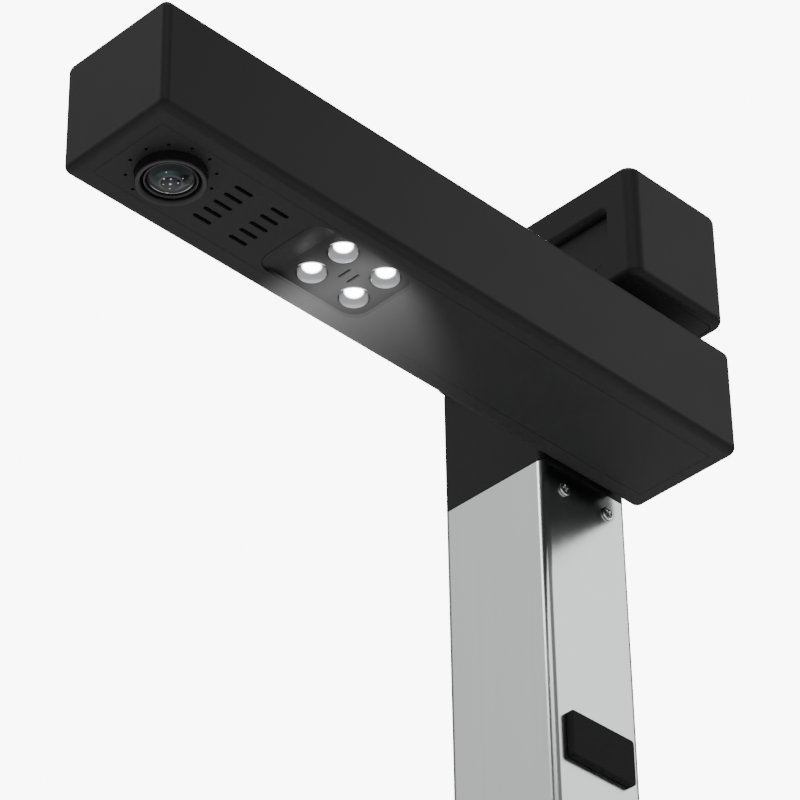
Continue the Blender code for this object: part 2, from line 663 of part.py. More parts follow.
def cable_way():
    """Box of the notch low in the mast's right wall, where the cable comes in from the base."""
    half = CABLE_SLOT / 2
    through = MAST_WALL + GAP + MAST_FOOT_WALL + PAST
    return (MAST_RIGHT_X - through, MAST_RIGHT_X + PAST, MAST_Y - half, MAST_Y + half,
            MAST_BOTTOM - PAST, MAST_BOTTOM + CABLE_SLOT)


def cable_route():
    """Hand-set points from the main board up the mast, through the joint and along the arm."""
    mid_z = ARM_UNDERSIDE + ARM_HEIGHT / 2
    start_z = BALLAST_TOP + GAP + BOARD_THICKNESS + GAP + CABLE_RADIUS
    end_z = ARM_UNDERSIDE + LENS_BODY_HEIGHT + BOARD_THICKNESS + 2 * GAP + CABLE_RADIUS
    start_x = port_list()[0][3]
    return ((start_x, MAST_Y, start_z), (MAST_RIGHT_X + 0.004, MAST_Y, start_z),
            (MAST_RIGHT_X - 0.010, MAST_Y, start_z), (MAST_X + 0.006, MAST_Y, MAST_BOTTOM + 0.020),
            (MAST_X, MAST_Y, MAST_BOTTOM + 0.060), (MAST_X, MAST_Y, MAST_TOP - 0.040),
            (MAST_X + 0.004, MAST_Y, mid_z - 0.020), (MAST_RIGHT_X - 0.014, MAST_Y, mid_z - 0.002),
            (MAST_RIGHT_X, MAST_Y, mid_z), (ARM_LEFT_X + 0.010, MAST_Y, mid_z),
            (ARM_X, MAST_Y - 0.020, mid_z + 0.006), (ARM_X, MAST_Y - 0.060, mid_z + 0.010),
            (ARM_X, LEDS_Y + 0.030, mid_z + 0.010), (ARM_X, LENS_Y + 0.050, mid_z + 0.008),
            (ARM_X, LENS_Y + 0.018, end_z + 0.001), (ARM_X, LENS_Y + 0.004, end_z))


def build_cable(mats):
    """Round cable swept along a smooth curve through the route's points."""
    route = [Vector(point) for point in cable_route()]
    padded = [route[0]] + route + [route[-1]]
    points = []
    step = 5 * CABLE_RADIUS
    for k in range(1, len(padded) - 2):
        before, start, end, after = padded[k - 1:k + 3]
        count = max(1, round((end - start).length / step))
        for j in range(count):
            t = j / count
            points.append(0.5 * (2 * start + (end - before) * t
                                 + (2 * before - 5 * start + 4 * end - after) * t ** 2
                                 + (3 * start - before - 3 * end + after) * t ** 3))
    points.append(route[-1])
    curve = bpy.data.curves.new("cable_harness", "CURVE")
    curve.dimensions = "3D"
    curve.bevel_depth = CABLE_RADIUS
    curve.bevel_resolution = 2
    curve.use_fill_caps = True
    spline = curve.splines.new("POLY")
    spline.points.add(len(points) - 1)
    for knot, point in zip(spline.points, points):
        knot.co = (*point, 1.0)
    curve.materials.append(mats["rubber"])
    item = bpy.data.objects.new("cable_harness", curve)
    bpy.context.scene.collection.objects.link(item)


def mast_screw_rows():
    return (MAST_Y - MAST_SCREW_SPACING / 2, MAST_Y + MAST_SCREW_SPACING / 2)


def build_socket(mats):
    inner_face = MAST_RIGHT_X - MAST_WALL - GAP
    block = rounded_rect(MAST_Y, SOCKET_Z, SOCKET_LENGTH + 2 * SOCKET_RIM, SOCKET_HEIGHT + 2 * SOCKET_RIM,
                         SOCKET_RADIUS, 3)
    socket = add_object("side_lamp_socket", prism("x", block, inner_face - SOCKET_DEPTH, inner_face),
                        mats["black"])
    recess_length = SOCKET_LENGTH - 2 * SOCKET_LIP
    recess_height = SOCKET_HEIGHT - 2 * SOCKET_LIP
    recess = rounded_rect(MAST_Y, SOCKET_Z, recess_length, recess_height, SOCKET_RADIUS, 3)
    recess_floor = inner_face - CAP_PLUG
    cut(socket, prism("x", recess, recess_floor, inner_face + PAST))
    weld(socket, *[prism("x", circle(MAST_Y + k * CONTACT_PITCH, SOCKET_Z, CONTACT_RADIUS, BOLT_STEPS),
                         recess_floor - SINK, recess_floor + CONTACT_RADIUS) for k in (-2, -1, 0, 1, 2)])

    rest = MAST_RIGHT_X + GAP
    cap = prism("x", rounded_rect(MAST_Y, SOCKET_Z, CAP_LENGTH, CAP_HEIGHT, CAP_RADIUS, 4), rest,
                rest + CAP_THICKNESS)
    bevel_ends(cap, "x", (rest + CAP_THICKNESS,), CAP_EDGE_RADIUS, 2)
    cap_object = add_object("socket_cap", cap, mats["rubber"], origin=(rest, MAST_Y, SOCKET_Z))
    plug = rounded_rect(MAST_Y, SOCKET_Z, recess_length - 2 * GAP, recess_height - 2 * GAP,
                        SOCKET_RADIUS - GAP, 3)
    plug_end = MAST_RIGHT_X - MAST_WALL - CAP_PLUG_REACH
    shape = prism("x", plug, plug_end, rest + CAP_THICKNESS / 2)
    bmesh.ops.translate(shape, verts=shape.verts, vec=-Vector((rest, MAST_Y, SOCKET_Z)))
    weld(cap_object, shape)
    bpy.data.objects["socket_cap_tool"].location = (rest, MAST_Y, SOCKET_Z)


# ---------------------------------------------------------------- arm
def arm_holes():
    """(y, z, radius) of the bolt holes and the cable passage between the neck and the arm."""
    z = ARM_UNDERSIDE + ARM_HEIGHT / 2
    offset = ARM_BOLT_SPACING / 2
    radius = ARM_BOLT_RADIUS + GAP
    return ((MAST_Y - offset, z, radius), (MAST_Y + offset, z, radius), (MAST_Y, z, PASSAGE_RADIUS))


def build_arm(mats):
    mid_z = ARM_UNDERSIDE + ARM_HEIGHT / 2
    body = prism("y", rounded_rect(ARM_X, mid_z, ARM_WIDTH, ARM_HEIGHT, ARM_LONG_RADIUS, 5),
                 ARM_FRONT_Y, ARM_REAR_Y)
    bevel_ends(body, "y", (ARM_FRONT_Y, ARM_REAR_Y), ARM_END_RADIUS, 3)
    shell = add_object("arm_shell", body, mats["black"])
    hollow = rounded_rect(ARM_X, mid_z, ARM_WIDTH - 2 * ARM_WALL, ARM_HEIGHT - 2 * ARM_WALL,
                          ARM_LONG_RADIUS - ARM_WALL, 4)
    cut(shell, prism("y", hollow, ARM_FRONT_Y + ARM_WALL, ARM_REAR_Y - ARM_WALL))
    length = ARM_LENGTH - 2 * COVER_END_MARGIN
    middle = (ARM_FRONT_Y + ARM_REAR_Y) / 2
    cut(shell, prism("z", rounded_rect(ARM_X, middle, COVER_WIDTH, length, COVER_RADIUS, 2),
                     ARM_UNDERSIDE - PAST, ARM_UNDERSIDE + ARM_WALL + PAST))
    cut(shell, *[prism("x", circle(y, z, radius, BOLT_STEPS), ARM_LEFT_X - PAST, ARM_LEFT_X + ARM_WALL + PAST)
                 for y, z, radius in arm_holes()])

    outline = rounded_rect(ARM_X, middle, COVER_WIDTH - 2 * GAP, length - 2 * GAP, COVER_RADIUS - GAP, 2)
    cover = add_object("arm_cover", prism("z", outline, ARM_UNDERSIDE, ARM_UNDERSIDE + COVER_THICKNESS),
                       mats["black"])
    low = ARM_UNDERSIDE - PAST
    high = ARM_UNDERSIDE + COVER_THICKNESS + PAST
    openings = [cylinder(LENS_RIM_RADIUS + GAP, low, high, ARM_X, LENS_Y, LENS_STEPS)]
    openings.append(prism("z", rounded_rect(ARM_X, LAMP_Y, LAMP_WIDTH, LAMP_LENGTH, LAMP_RADIUS, 6), low, high))
    for k in range(RING_HOLES):
        angle = math.radians(15 + k * 360 / RING_HOLES)
        openings.append(cylinder(RING_HOLE_RADIUS, low, high, ARM_X + RING_HOLE_CIRCLE * math.cos(angle),
                                 LENS_Y + RING_HOLE_CIRCLE * math.sin(angle), 8))
    for row in SLOT_ROWS_FROM_FRONT:
        for k in range(SLOTS_PER_ROW):
            x = ARM_X + (k - (SLOTS_PER_ROW - 1) / 2) * SLOT_PITCH
            openings.append(prism("z", rounded_rect(x, ARM_FRONT_Y + row, SLOT_WIDTH, SLOT_LENGTH,
                                                    SLOT_WIDTH / 2, 2), low, high))
    cut(cover, *openings)
    build_arm_joint(mats)


def build_arm_joint(mats):
    mid_z = ARM_UNDERSIDE + ARM_HEIGHT / 2
    outline = rounded_rect(MAST_Y, mid_z, MAST_DEPTH - 2 * MOUNT_SIDE_MARGIN,
                           ARM_HEIGHT - 2 * MOUNT_HEIGHT_MARGIN, MOUNT_RADIUS, 4)
    mount = add_object("arm_mount", prism("x", outline, MAST_RIGHT_X + GAP, ARM_LEFT_X - GAP), mats["black"])
    cut(mount, *[prism("x", circle(y, z, radius, BOLT_STEPS), MAST_RIGHT_X - PAST, ARM_LEFT_X + PAST)
                 for y, z, radius in arm_holes()])
    rail_x = ARM_LEFT_X + ARM_WALL + GAP
    rail_inner = rail_x + RAIL_THICKNESS
    rail = add_object("arm_rail", box(rail_x, rail_inner, ARM_FRONT_Y + RAIL_END, ARM_REAR_Y - RAIL_END,
                      mid_z - RAIL_HEIGHT / 2, mid_z + RAIL_HEIGHT / 2), mats["zinc"])
    cut(rail, *[prism("x", circle(y, z, radius, BOLT_STEPS), rail_x - PAST, rail_inner + PAST)
                for y, z, radius in arm_holes()])
    seat_x = rail_inner + GAP
    length = seat_x - MAST_RIGHT_X + MAST_WALL + SPIGOT_WALL + ARM_BOLT_RADIUS
    for number, (y, z, _) in enumerate(arm_holes()[:2], 1):
        profile = [(0.0, -length), (ARM_BOLT_RADIUS, -length), (ARM_BOLT_RADIUS, 0.0),
                   (ARM_BOLT_HEAD_RADIUS, 0.0), (ARM_BOLT_HEAD_RADIUS, ARM_BOLT_HEAD_HEIGHT),
                   (0.0, ARM_BOLT_HEAD_HEIGHT)]
        bolt = add_object(f"arm_bolt_{number}", lathe(profile, POST_STEPS, "x", (seat_x, y, z)), mats["chrome"])
        cut(bolt, prism("x", circle(y, z, ARM_BOLT_SOCKET, 6), seat_x + ARM_BOLT_HEAD_HEIGHT / 2,
                        seat_x + ARM_BOLT_HEAD_HEIGHT + PAST))


# ---------------------------------------------------------------- camera
def build_camera(mats):
    here = (ARM_X, LENS_Y, ARM_UNDERSIDE)
    drop = LENS_RIM_DROP
    flange_low = COVER_THICKNESS + GAP
    flange_high = flange_low + LENS_FLANGE
    bore = LENS_INNER_RADIUS + 0.0030
    shoulder = LENS_SHOULDER
    barrel = [(LENS_RIM_RADIUS - 0.0006, -drop), (LENS_RIM_RADIUS, -drop + 0.0006),
              (LENS_RIM_RADIUS, flange_low), (LENS_FLANGE_RADIUS, flange_low),
              (LENS_FLANGE_RADIUS, flange_high), (LENS_BODY_RADIUS, flange_high),
              (LENS_BODY_RADIUS, LENS_BODY_HEIGHT), (bore, LENS_BODY_HEIGHT), (bore, shoulder),
              (LENS_GROOVE_RADIUS, shoulder), (LENS_GROOVE_RADIUS, -drop + 0.0010),
              (LENS_GROOVE_RADIUS + 0.0010, -drop)]
    add_object("lens_barrel", lathe(barrel, LENS_STEPS, "z", here, closed=True), mats["black"])
    ring_out = LENS_GROOVE_RADIUS - GAP
    ring = [(LENS_GLASS_RADIUS + GAP, -0.0030), (LENS_GLASS_RADIUS + 0.0014, -0.0034),
            (LENS_GLASS_RADIUS + 0.0014, -0.0008), (ring_out, -0.0008), (ring_out, 0.0036),
            (LENS_GLASS_RADIUS + GAP, 0.0036)]
    add_object("lens_ring", lathe(ring, LENS_STEPS, "z", here, closed=True), mats["gloss"])

    bulge = LENS_BULGE
    edge = -0.0020
    sphere = (LENS_GLASS_RADIUS ** 2 + bulge ** 2) / (2 * bulge)
    dome = []
    rows = 5
    for k in range(rows + 1):
        radius = LENS_GLASS_RADIUS * k / rows
        dome.append((radius, edge - bulge + sphere - math.sqrt(sphere ** 2 - radius ** 2)))
    glass = dome + [(LENS_GLASS_RADIUS, 0.0006), (0.0, 0.0006)]
    add_object("lens_glass", lathe(glass, LENS_STEPS, "z", here), mats["glass"])
    inner_edge = 0.0022
    inner = [(0.0, 0.0010), (LENS_INNER_RADIUS * 0.6, 0.0014), (LENS_INNER_RADIUS, inner_edge),
             (LENS_INNER_RADIUS, 0.0050), (bore - GAP, 0.0050), (bore - GAP, 0.0100), (0.0, 0.0100)]
    add_object("lens_inner", lathe(inner, 24, "z", here), mats["glass"])

    board_low = ARM_UNDERSIDE + LENS_BODY_HEIGHT + GAP
    half = CAMERA_BOARD / 2
    add_object("camera_board", box(ARM_X - half, ARM_X + half, LENS_Y - half + 0.002, LENS_Y + half + 0.002,
               board_low, board_low + BOARD_THICKNESS), mats["board"])
    side = SENSOR_SIZE / 2
    add_object("image_sensor", box(ARM_X - side, ARM_X + side, LENS_Y - side, LENS_Y + side,
               board_low - GAP - SENSOR_THICKNESS, board_low - GAP), mats["gloss"])


# ---------------------------------------------------------------- lamp panel
def led_places():
    for sy in (-1, 1):
        for sx in (-1, 1):
            yield (ARM_X + sx * LED_SPACING_X / 2, LEDS_Y + sy * LED_SPACING_Y / 2)


def build_lamps(mats):
    plate_outline = rounded_rect(ARM_X, LAMP_Y, COVER_WIDTH - 2 * LAMP_SIDE_CLEARANCE,
                                 LAMP_LENGTH + 2 * LAMP_RIM, LAMP_RADIUS, 6)
    panel = add_object("lamp_panel", prism("z", plate_outline, LAMP_FLOOR, LAMP_FLOOR + LAMP_PLATE),
                       mats["black"])
    weld(panel, lamp_ramp())
    low = ARM_UNDERSIDE - PAST
    high = LAMP_FLOOR + LAMP_PLATE + PAST
    hole = LED_RADIUS + GAP
    cone = [(0.0, low), (hole + LED_CHAMFER, low), (hole + LED_CHAMFER, LAMP_FLOOR),
            (hole, LAMP_FLOOR + LED_CHAMFER), (hole, high), (0.0, high)]
    cut(panel, *[lathe(cone, LED_STEPS, "z", (x, y, 0.0)) for x, y in led_places()])
    cut(panel, *[prism("z", rounded_rect(ARM_X, LEDS_Y + s * SLIT_SPACING / 2, SLIT_LENGTH, SLIT_WIDTH,
                                         SLIT_WIDTH / 2, 2), low, high) for s in (-1, 1)])

    collar_top = LAMP_FLOOR + LAMP_PLATE + LED_COLLAR
    for number, (x, y) in enumerate(led_places(), 1):
        angles = [math.radians(a) for a in (0, 25, 50, 70, 90)]
        dome = [(LED_RADIUS * math.sin(a), LAMP_FLOOR - LED_BULGE * math.cos(a)) for a in angles]
        profile = dome + [(LED_RADIUS, LAMP_FLOOR + LAMP_PLATE), (LED_RADIUS * 0.6, collar_top),
                          (0.0, collar_top)]
        add_object(f"led_lens_{number}", lathe(profile, LED_STEPS, "z", (x, y, 0.0)), mats["led"])

    board_low = collar_top + GAP
    half_x = LED_SPACING_X / 2 + LED_BOARD_MARGIN
    half_y = LED_SPACING_Y / 2 + LED_BOARD_MARGIN
    add_object("led_board", box(ARM_X - half_x, ARM_X + half_x, LEDS_Y - half_y, LEDS_Y + half_y,
               board_low, board_low + BOARD_THICKNESS), mats["board"])
    for number, s in enumerate((-1, 1), 1):
        y = LEDS_Y + s * SLIT_SPACING / 2
        laser = box(ARM_X - LASER_WIDTH / 2, ARM_X + LASER_WIDTH / 2, y - LASER_DEPTH / 2,
                    y + LASER_DEPTH / 2, LAMP_FLOOR + LAMP_PLATE + GAP, board_low - GAP)
        add_object(f"line_laser_{number}", laser, mats["gloss"])


def lamp_ramp():
    """Wedge that leads from the underside down to the lamp panel's floor."""
    clear_w = LAMP_WIDTH - 2 * GAP
    front = LAMP_Y - LAMP_LENGTH / 2 + GAP
    outline = rounded_rect(ARM_X, LAMP_Y, clear_w, LAMP_LENGTH - 2 * GAP, LAMP_RADIUS - GAP, 6)
    end = front + LAMP_RAMP
    sides = [point for point in outline if point[1] < end]
    sides.sort(key=lambda point: math.atan2(point[1] - end, point[0] - ARM_X))
    corners = [(ARM_X - clear_w / 2, end)] + sides + [(ARM_X + clear_w / 2, end)]
    rim = ARM_UNDERSIDE + 0.0001
    wedge = prism("z", corners, rim, LAMP_FLOOR + LAMP_PLATE / 2)
    scoop = LAMP_FLOOR - ARM_UNDERSIDE
    for vert in wedge.verts:
        if vert.co.z < LAMP_FLOOR:
            share = (vert.co.y - front) / LAMP_RAMP
            vert.co.z = rim + scoop * share * share * (3 - 2 * share)
    bmesh.ops.triangulate(wedge, faces=wedge.faces)
    return wedge


# ---------------------------------------------------------------- display head
def build_head(mats):
    body = prism("z", rounded_rect(HEAD_X, HEAD_Y, HEAD_WIDTH, HEAD_DEPTH, HEAD_RADIUS, 5),
                 HEAD_BOTTOM, HEAD_TOP)
    bevel_ends(body, "z", (HEAD_BOTTOM, HEAD_TOP), HEAD_EDGE_RADIUS, 4)
    shell = add_object("head_shell", body, mats["black"])
    inner_w = HEAD_WIDTH - 2 * HEAD_WALL
    inner_front = HEAD_FRONT_Y + HEAD_FRONT_WALL
    inner_rear = ARM_REAR_Y - HEAD_WALL
    inner_y = (inner_front + inner_rear) / 2
    inner_d = inner_rear - inner_front
    radius = HEAD_RADIUS - HEAD_WALL
    cut(shell, prism("z", rounded_rect(HEAD_X, inner_y, inner_w, inner_d, radius, 4),
                     HEAD_BOTTOM + HEAD_EDGE_RADIUS, HEAD_TOP - HEAD_WALL))
    floor_w = HEAD_WIDTH - 2 * (HEAD_EDGE_RADIUS + HEAD_FLOOR_MARGIN)
    floor_d = HEAD_DEPTH - HEAD_FRONT_WALL - HEAD_EDGE_RADIUS - 2 * HEAD_FLOOR_MARGIN
    cut(shell, prism("z", rounded_rect(HEAD_X, inner_y, floor_w, floor_d, HEAD_FLOOR_RADIUS, 4),
                     HEAD_BOTTOM - PAST, HEAD_BOTTOM + HEAD_EDGE_RADIUS + PAST))

    window_w = HEAD_WIDTH - 2 * WINDOW_MARGIN
    lean = math.atan(WINDOW_TOP_DEPTH / WINDOW_HEIGHT)
    low = HEAD_BOTTOM + WINDOW_BOTTOM
    pocket_floor = HEAD_FRONT_Y + GLASS_THICKNESS + GAP
    outline = rounded_rect(HEAD_X, low + WINDOW_HEIGHT / 2, window_w, WINDOW_HEIGHT, WINDOW_RADIUS, 5,
                           WINDOW_LOW_RADIUS)
    pocket = leaning(prism("y", outline, HEAD_FRONT_Y - HEAD_FRONT_WALL, pocket_floor), lean, low)
    cut(shell, pocket)
    lcd_z = low + WINDOW_HEIGHT / 2
    behind = HEAD_FRONT_WALL + LCD_BEHIND
    cut(shell, leaning(prism("y", rounded_rect(HEAD_X, lcd_z, LCD_WIDTH + 2 * GAP, LCD_HEIGHT + 2 * GAP,
                       PAST, 2), HEAD_FRONT_Y - PAST, HEAD_FRONT_Y + behind), lean, low))

    floor_outline = rounded_rect(HEAD_X, inner_y, floor_w - 2 * GAP, floor_d - 2 * GAP,
                                 HEAD_FLOOR_RADIUS - GAP, 4)
    floor_top = HEAD_BOTTOM + HEAD_FLOOR_THICKNESS
    floor = add_object("head_floor", prism("z", floor_outline, HEAD_BOTTOM, floor_top), mats["black"])
    cut(floor, cylinder(PASSAGE_RADIUS, HEAD_BOTTOM - PAST, floor_top + PAST, MAST_X, MAST_Y, LED_STEPS))
    build_display(mats, lean, low, window_w, lcd_z)


def leaning(shape, lean, low):
    """Tilt a piece of the display back about the window's lower front edge."""
    bmesh.ops.rotate(shape, verts=shape.verts, cent=(0.0, HEAD_FRONT_Y, low),
                     matrix=Matrix.Rotation(-lean, 3, "X"))
    return shape


def build_display(mats, lean, low, window_w, lcd_z):
    glass = prism("y", rounded_rect(HEAD_X, lcd_z, window_w - 2 * GAP, WINDOW_HEIGHT - 2 * GAP,
                  WINDOW_RADIUS - GAP, 5, WINDOW_LOW_RADIUS - GAP), HEAD_FRONT_Y,
                  HEAD_FRONT_Y + GLASS_THICKNESS)
    add_object("display_glass", leaning(glass, lean, low), mats["gloss"])
    front = HEAD_FRONT_Y + GLASS_THICKNESS + GAP
    lcd = box(HEAD_X - LCD_WIDTH / 2, HEAD_X + LCD_WIDTH / 2, front, front + LCD_THICKNESS,
              lcd_z - LCD_HEIGHT / 2, lcd_z + LCD_HEIGHT / 2)
    add_object("display_module", leaning(lcd, lean, low), mats["gloss"])
    board_y = front + LCD_THICKNESS + GAP
    half_w = LCD_WIDTH / 2 - LCD_BOARD_INSET
    half_h = LCD_HEIGHT / 2 - LCD_BOARD_INSET
    board = box(HEAD_X - half_w, HEAD_X + half_w, board_y, board_y + BOARD_THICKNESS, lcd_z - half_h,
                lcd_z + half_h)
    add_object("display_board", leaning(board, lean, low), mats["board"])


# ---------------------------------------------------------------- whole scanner
def build_materials():
    return {
        "black": make_material("black_plastic", (0.022, 0.022, 0.023), 0.48),
        "gloss": make_material("gloss_black", (0.008, 0.008, 0.009), 0.12),
        "button": make_material("button_plastic", (0.075, 0.077, 0.080), 0.40),
        "rubber": make_material("black_rubber", (0.014, 0.014, 0.014), 0.80),
        "aluminium": make_material("anodised_aluminium", (0.60, 0.61, 0.62), 0.34, 1.0),
        "steel": make_material("painted_steel", (0.060, 0.060, 0.063), 0.55, 0.4),
        "zinc": make_material("zinc_plate", (0.42, 0.43, 0.44), 0.45, 1.0),
        "chrome": make_material("bright_screw", (0.74, 0.75, 0.77), 0.18, 1.0),
        "glass": make_material("coated_glass", (0.020, 0.030, 0.028), 0.04),
        "led": make_material("led_lens", (0.90, 0.92, 0.95), 0.15),
        "board": make_material("circuit_board", (0.015, 0.085, 0.040), 0.50),
    }


def main():
    clear_scene()
    mats = build_materials()
    build_base(mats)
    build_controls(mats)
    build_main_board(mats)
    build_mast(mats)
    build_cable(mats)
    build_arm(mats)
    build_camera(mats)
    build_lamps(mats)
    build_head(mats)


main()
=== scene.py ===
# %% [markdown]
# # An overhead book scanner
# The scanner has a low weighted base, a square silver mast, a long arm that carries the camera and four
# lamps in its underside, and a display head on top of the mast.  The solid parts are loaded from model.glb
# as a fixed frame.  Every piece made below takes its place from that frame, so that it fits with no
# moving about, and then rides on one of the frame's bodies.

# %% Load the frame
import json
import math
from functools import partialmethod

import bmesh
import bpy
from mathutils import Matrix, Vector

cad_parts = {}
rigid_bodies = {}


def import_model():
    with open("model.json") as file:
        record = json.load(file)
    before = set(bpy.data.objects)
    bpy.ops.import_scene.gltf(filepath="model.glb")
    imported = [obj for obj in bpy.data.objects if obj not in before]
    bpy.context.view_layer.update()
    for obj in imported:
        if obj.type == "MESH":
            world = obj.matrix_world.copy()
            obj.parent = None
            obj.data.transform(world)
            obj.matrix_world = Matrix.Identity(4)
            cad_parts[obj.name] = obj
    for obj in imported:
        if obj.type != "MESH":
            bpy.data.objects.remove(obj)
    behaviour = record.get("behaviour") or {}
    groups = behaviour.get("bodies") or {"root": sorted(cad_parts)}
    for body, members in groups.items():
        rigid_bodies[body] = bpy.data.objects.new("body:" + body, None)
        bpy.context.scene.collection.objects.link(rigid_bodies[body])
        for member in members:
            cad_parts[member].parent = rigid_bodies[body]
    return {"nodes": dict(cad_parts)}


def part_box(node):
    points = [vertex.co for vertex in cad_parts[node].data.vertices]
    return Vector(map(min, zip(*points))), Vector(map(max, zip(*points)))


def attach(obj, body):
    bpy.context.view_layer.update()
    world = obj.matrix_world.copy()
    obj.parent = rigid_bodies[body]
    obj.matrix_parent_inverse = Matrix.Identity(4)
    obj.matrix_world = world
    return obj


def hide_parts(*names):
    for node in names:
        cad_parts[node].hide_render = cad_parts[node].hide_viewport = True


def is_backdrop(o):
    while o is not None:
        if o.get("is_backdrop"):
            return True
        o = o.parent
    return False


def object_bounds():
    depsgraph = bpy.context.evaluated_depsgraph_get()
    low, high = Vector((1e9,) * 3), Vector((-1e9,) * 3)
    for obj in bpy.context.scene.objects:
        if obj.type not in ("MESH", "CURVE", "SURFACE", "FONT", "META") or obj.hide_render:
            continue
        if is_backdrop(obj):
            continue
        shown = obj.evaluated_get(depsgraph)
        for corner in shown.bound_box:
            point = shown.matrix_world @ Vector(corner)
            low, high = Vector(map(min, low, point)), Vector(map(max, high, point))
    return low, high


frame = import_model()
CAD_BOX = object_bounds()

SCANNER = "scanner"
NODES = frame["nodes"]

# %% [markdown]
# ## Camera, light and table
# The scanner is seen from low in front of its right side, so the lens stands below the table's height
# and looks up.  The table top is a plain sheet that is clear from underneath: a mix between the pale
# paint and a clear shader, switched by which side of the sheet is met, does that from any viewpoint.

# %% Camera
AIM = Vector((0.0810, -0.0697, 0.1718))
BACK = Vector((0.56467, -0.57678, -0.59032))
UP = Vector((0.42512, -0.40980, 0.80705))
DISTANCE = 1.532
FOCAL_LENGTH = 172.08          # mm, on a 36 mm wide sensor


def make_camera():
    lens = bpy.data.cameras.new("camera")
    lens.lens = FOCAL_LENGTH
    lens.sensor_width = 36.0
    lens.clip_start, lens.clip_end = 0.05, 50.0
    camera = bpy.data.objects.new("camera", lens)
    right = UP.cross(BACK).normalized()
    turn = Matrix((right, UP, BACK)).transposed().to_4x4()
    camera.matrix_world = Matrix.Translation(AIM + BACK * DISTANCE) @ turn
    bpy.context.scene.collection.objects.link(camera)
    bpy.context.scene.camera = camera
    return camera


print("camera at", [round(v, 3) for v in make_camera().matrix_world.translation])

# %% Soft lights and the surrounding white
SKY = 0.24                    # brightness that lights the scanner
WHITE = 9.0                   # brightness of the plain background
STRIP_HEIGHT = 0.3            # of the two narrow lights


def make_world():
    world = bpy.data.worlds.new("studio")
    bpy.context.scene.world = world
    world.use_nodes = True
    tree = world.node_tree
    path = tree.nodes.new("ShaderNodeLightPath")
    mix = tree.nodes.new("ShaderNodeMixShader")
    tree.links.new(path.outputs["Is Camera Ray"], mix.inputs[0])
    skies = (tree.nodes["Background"], SKY), (tree.nodes.new("ShaderNodeBackground"), WHITE)
    for k, (sky, brightness) in enumerate(skies):
        sky.inputs["Color"].default_value = (1.0, 1.0, 1.0, 1.0)
        sky.inputs["Strength"].default_value = brightness
        tree.links.new(sky.outputs[0], mix.inputs[k + 1])
    tree.links.new(mix.outputs[0], tree.nodes["World Output"].inputs["Surface"])


def make_light(name, place, target, size, power, shape="SQUARE"):
    light = bpy.data.lights.new(name, "AREA")
    light.shape = shape
    light.size, light.size_y = size, STRIP_HEIGHT
    light.energy = power
    item = bpy.data.objects.new(name, light)
    item.location = place
    item.rotation_mode = "QUATERNION"
    item.rotation_quaternion = (Vector(target) - Vector(place)).to_track_quat("-Z", "Y")
    item.visible_camera = False
    bpy.context.scene.collection.objects.link(item)


make_world()
LIGHTS = (                    # name, place, what it faces, size, power
    ("right_rear_softbox", (1.00, 1.10, 1.15), (0.0, 0.1, 0.25), 0.90, 4.1),
    ("left_front_softbox", (-1.08, -1.27, 1.34), (0.0, 0.0, 0.25), 1.30, 3.5),
    ("rim_light", (-0.62, 1.00, 1.22), (0.0, 0.13, 0.37), 0.60, 16.0),
    ("overhead", (0.25, -0.30, 1.90), (0.25, -0.30, 0.0), 1.20, 6.0),
    ("corner_strip", (-0.33, -1.15, 1.15), (0.0, 0.1, 0.20), 0.48, 2.4, "RECTANGLE"),
    ("camera_side_strip", (1.05, -0.85, 1.20), (0.0, 0.1, 0.20), 0.95, 2.8, "RECTANGLE"),
)
for light in LIGHTS:
    make_light(*light)
print("lights:", len(LIGHTS))

# %% [markdown]
# ## Two small languages
# A finish is a tree of shader nodes.  Wrapping a socket in a class that overloads the arithmetic signs
# lets a finish be written as a sum, such as `0.4 + 0.1 * grain`, in place of a page of links.  Shapes
# that repeat are written as Geometry Nodes recipes, whose inputs have names and sizes.

# %% A socket that can be added and multiplied
class Value:
    def __init__(self, finish, socket):
        self.finish, self.socket = finish, socket

    def maths(self, operation, other, swap=False):
        first, second = (other, self) if swap else (self, other)
        return self.finish.node("Math", {"operation": operation}, {0: first, 1: second})

    def step(self, low, high, rise="SMOOTHSTEP"):
        """0 below low, 1 above high and a rise between."""
        inputs = {"Value": self, "From Min": low, "From Max": high}
        return self.finish.node("MapRange", {"interpolation_type": rise}, inputs)

    def part(self, axis):
        """The x, y or z of a vector."""
        return self.finish.node("SeparateXYZ", {}, {0: self}, "xyz".index(axis))


SIGNS = {"add": "ADD", "sub": "SUBTRACT", "mul": "MULTIPLY", "truediv": "DIVIDE", "pow": "POWER"}
for sign, operation in SIGNS.items():
    setattr(Value, f"__{sign}__", partialmethod(Value.maths, operation))
    setattr(Value, f"__r{sign}__", partialmethod(Value.maths, operation, swap=True))


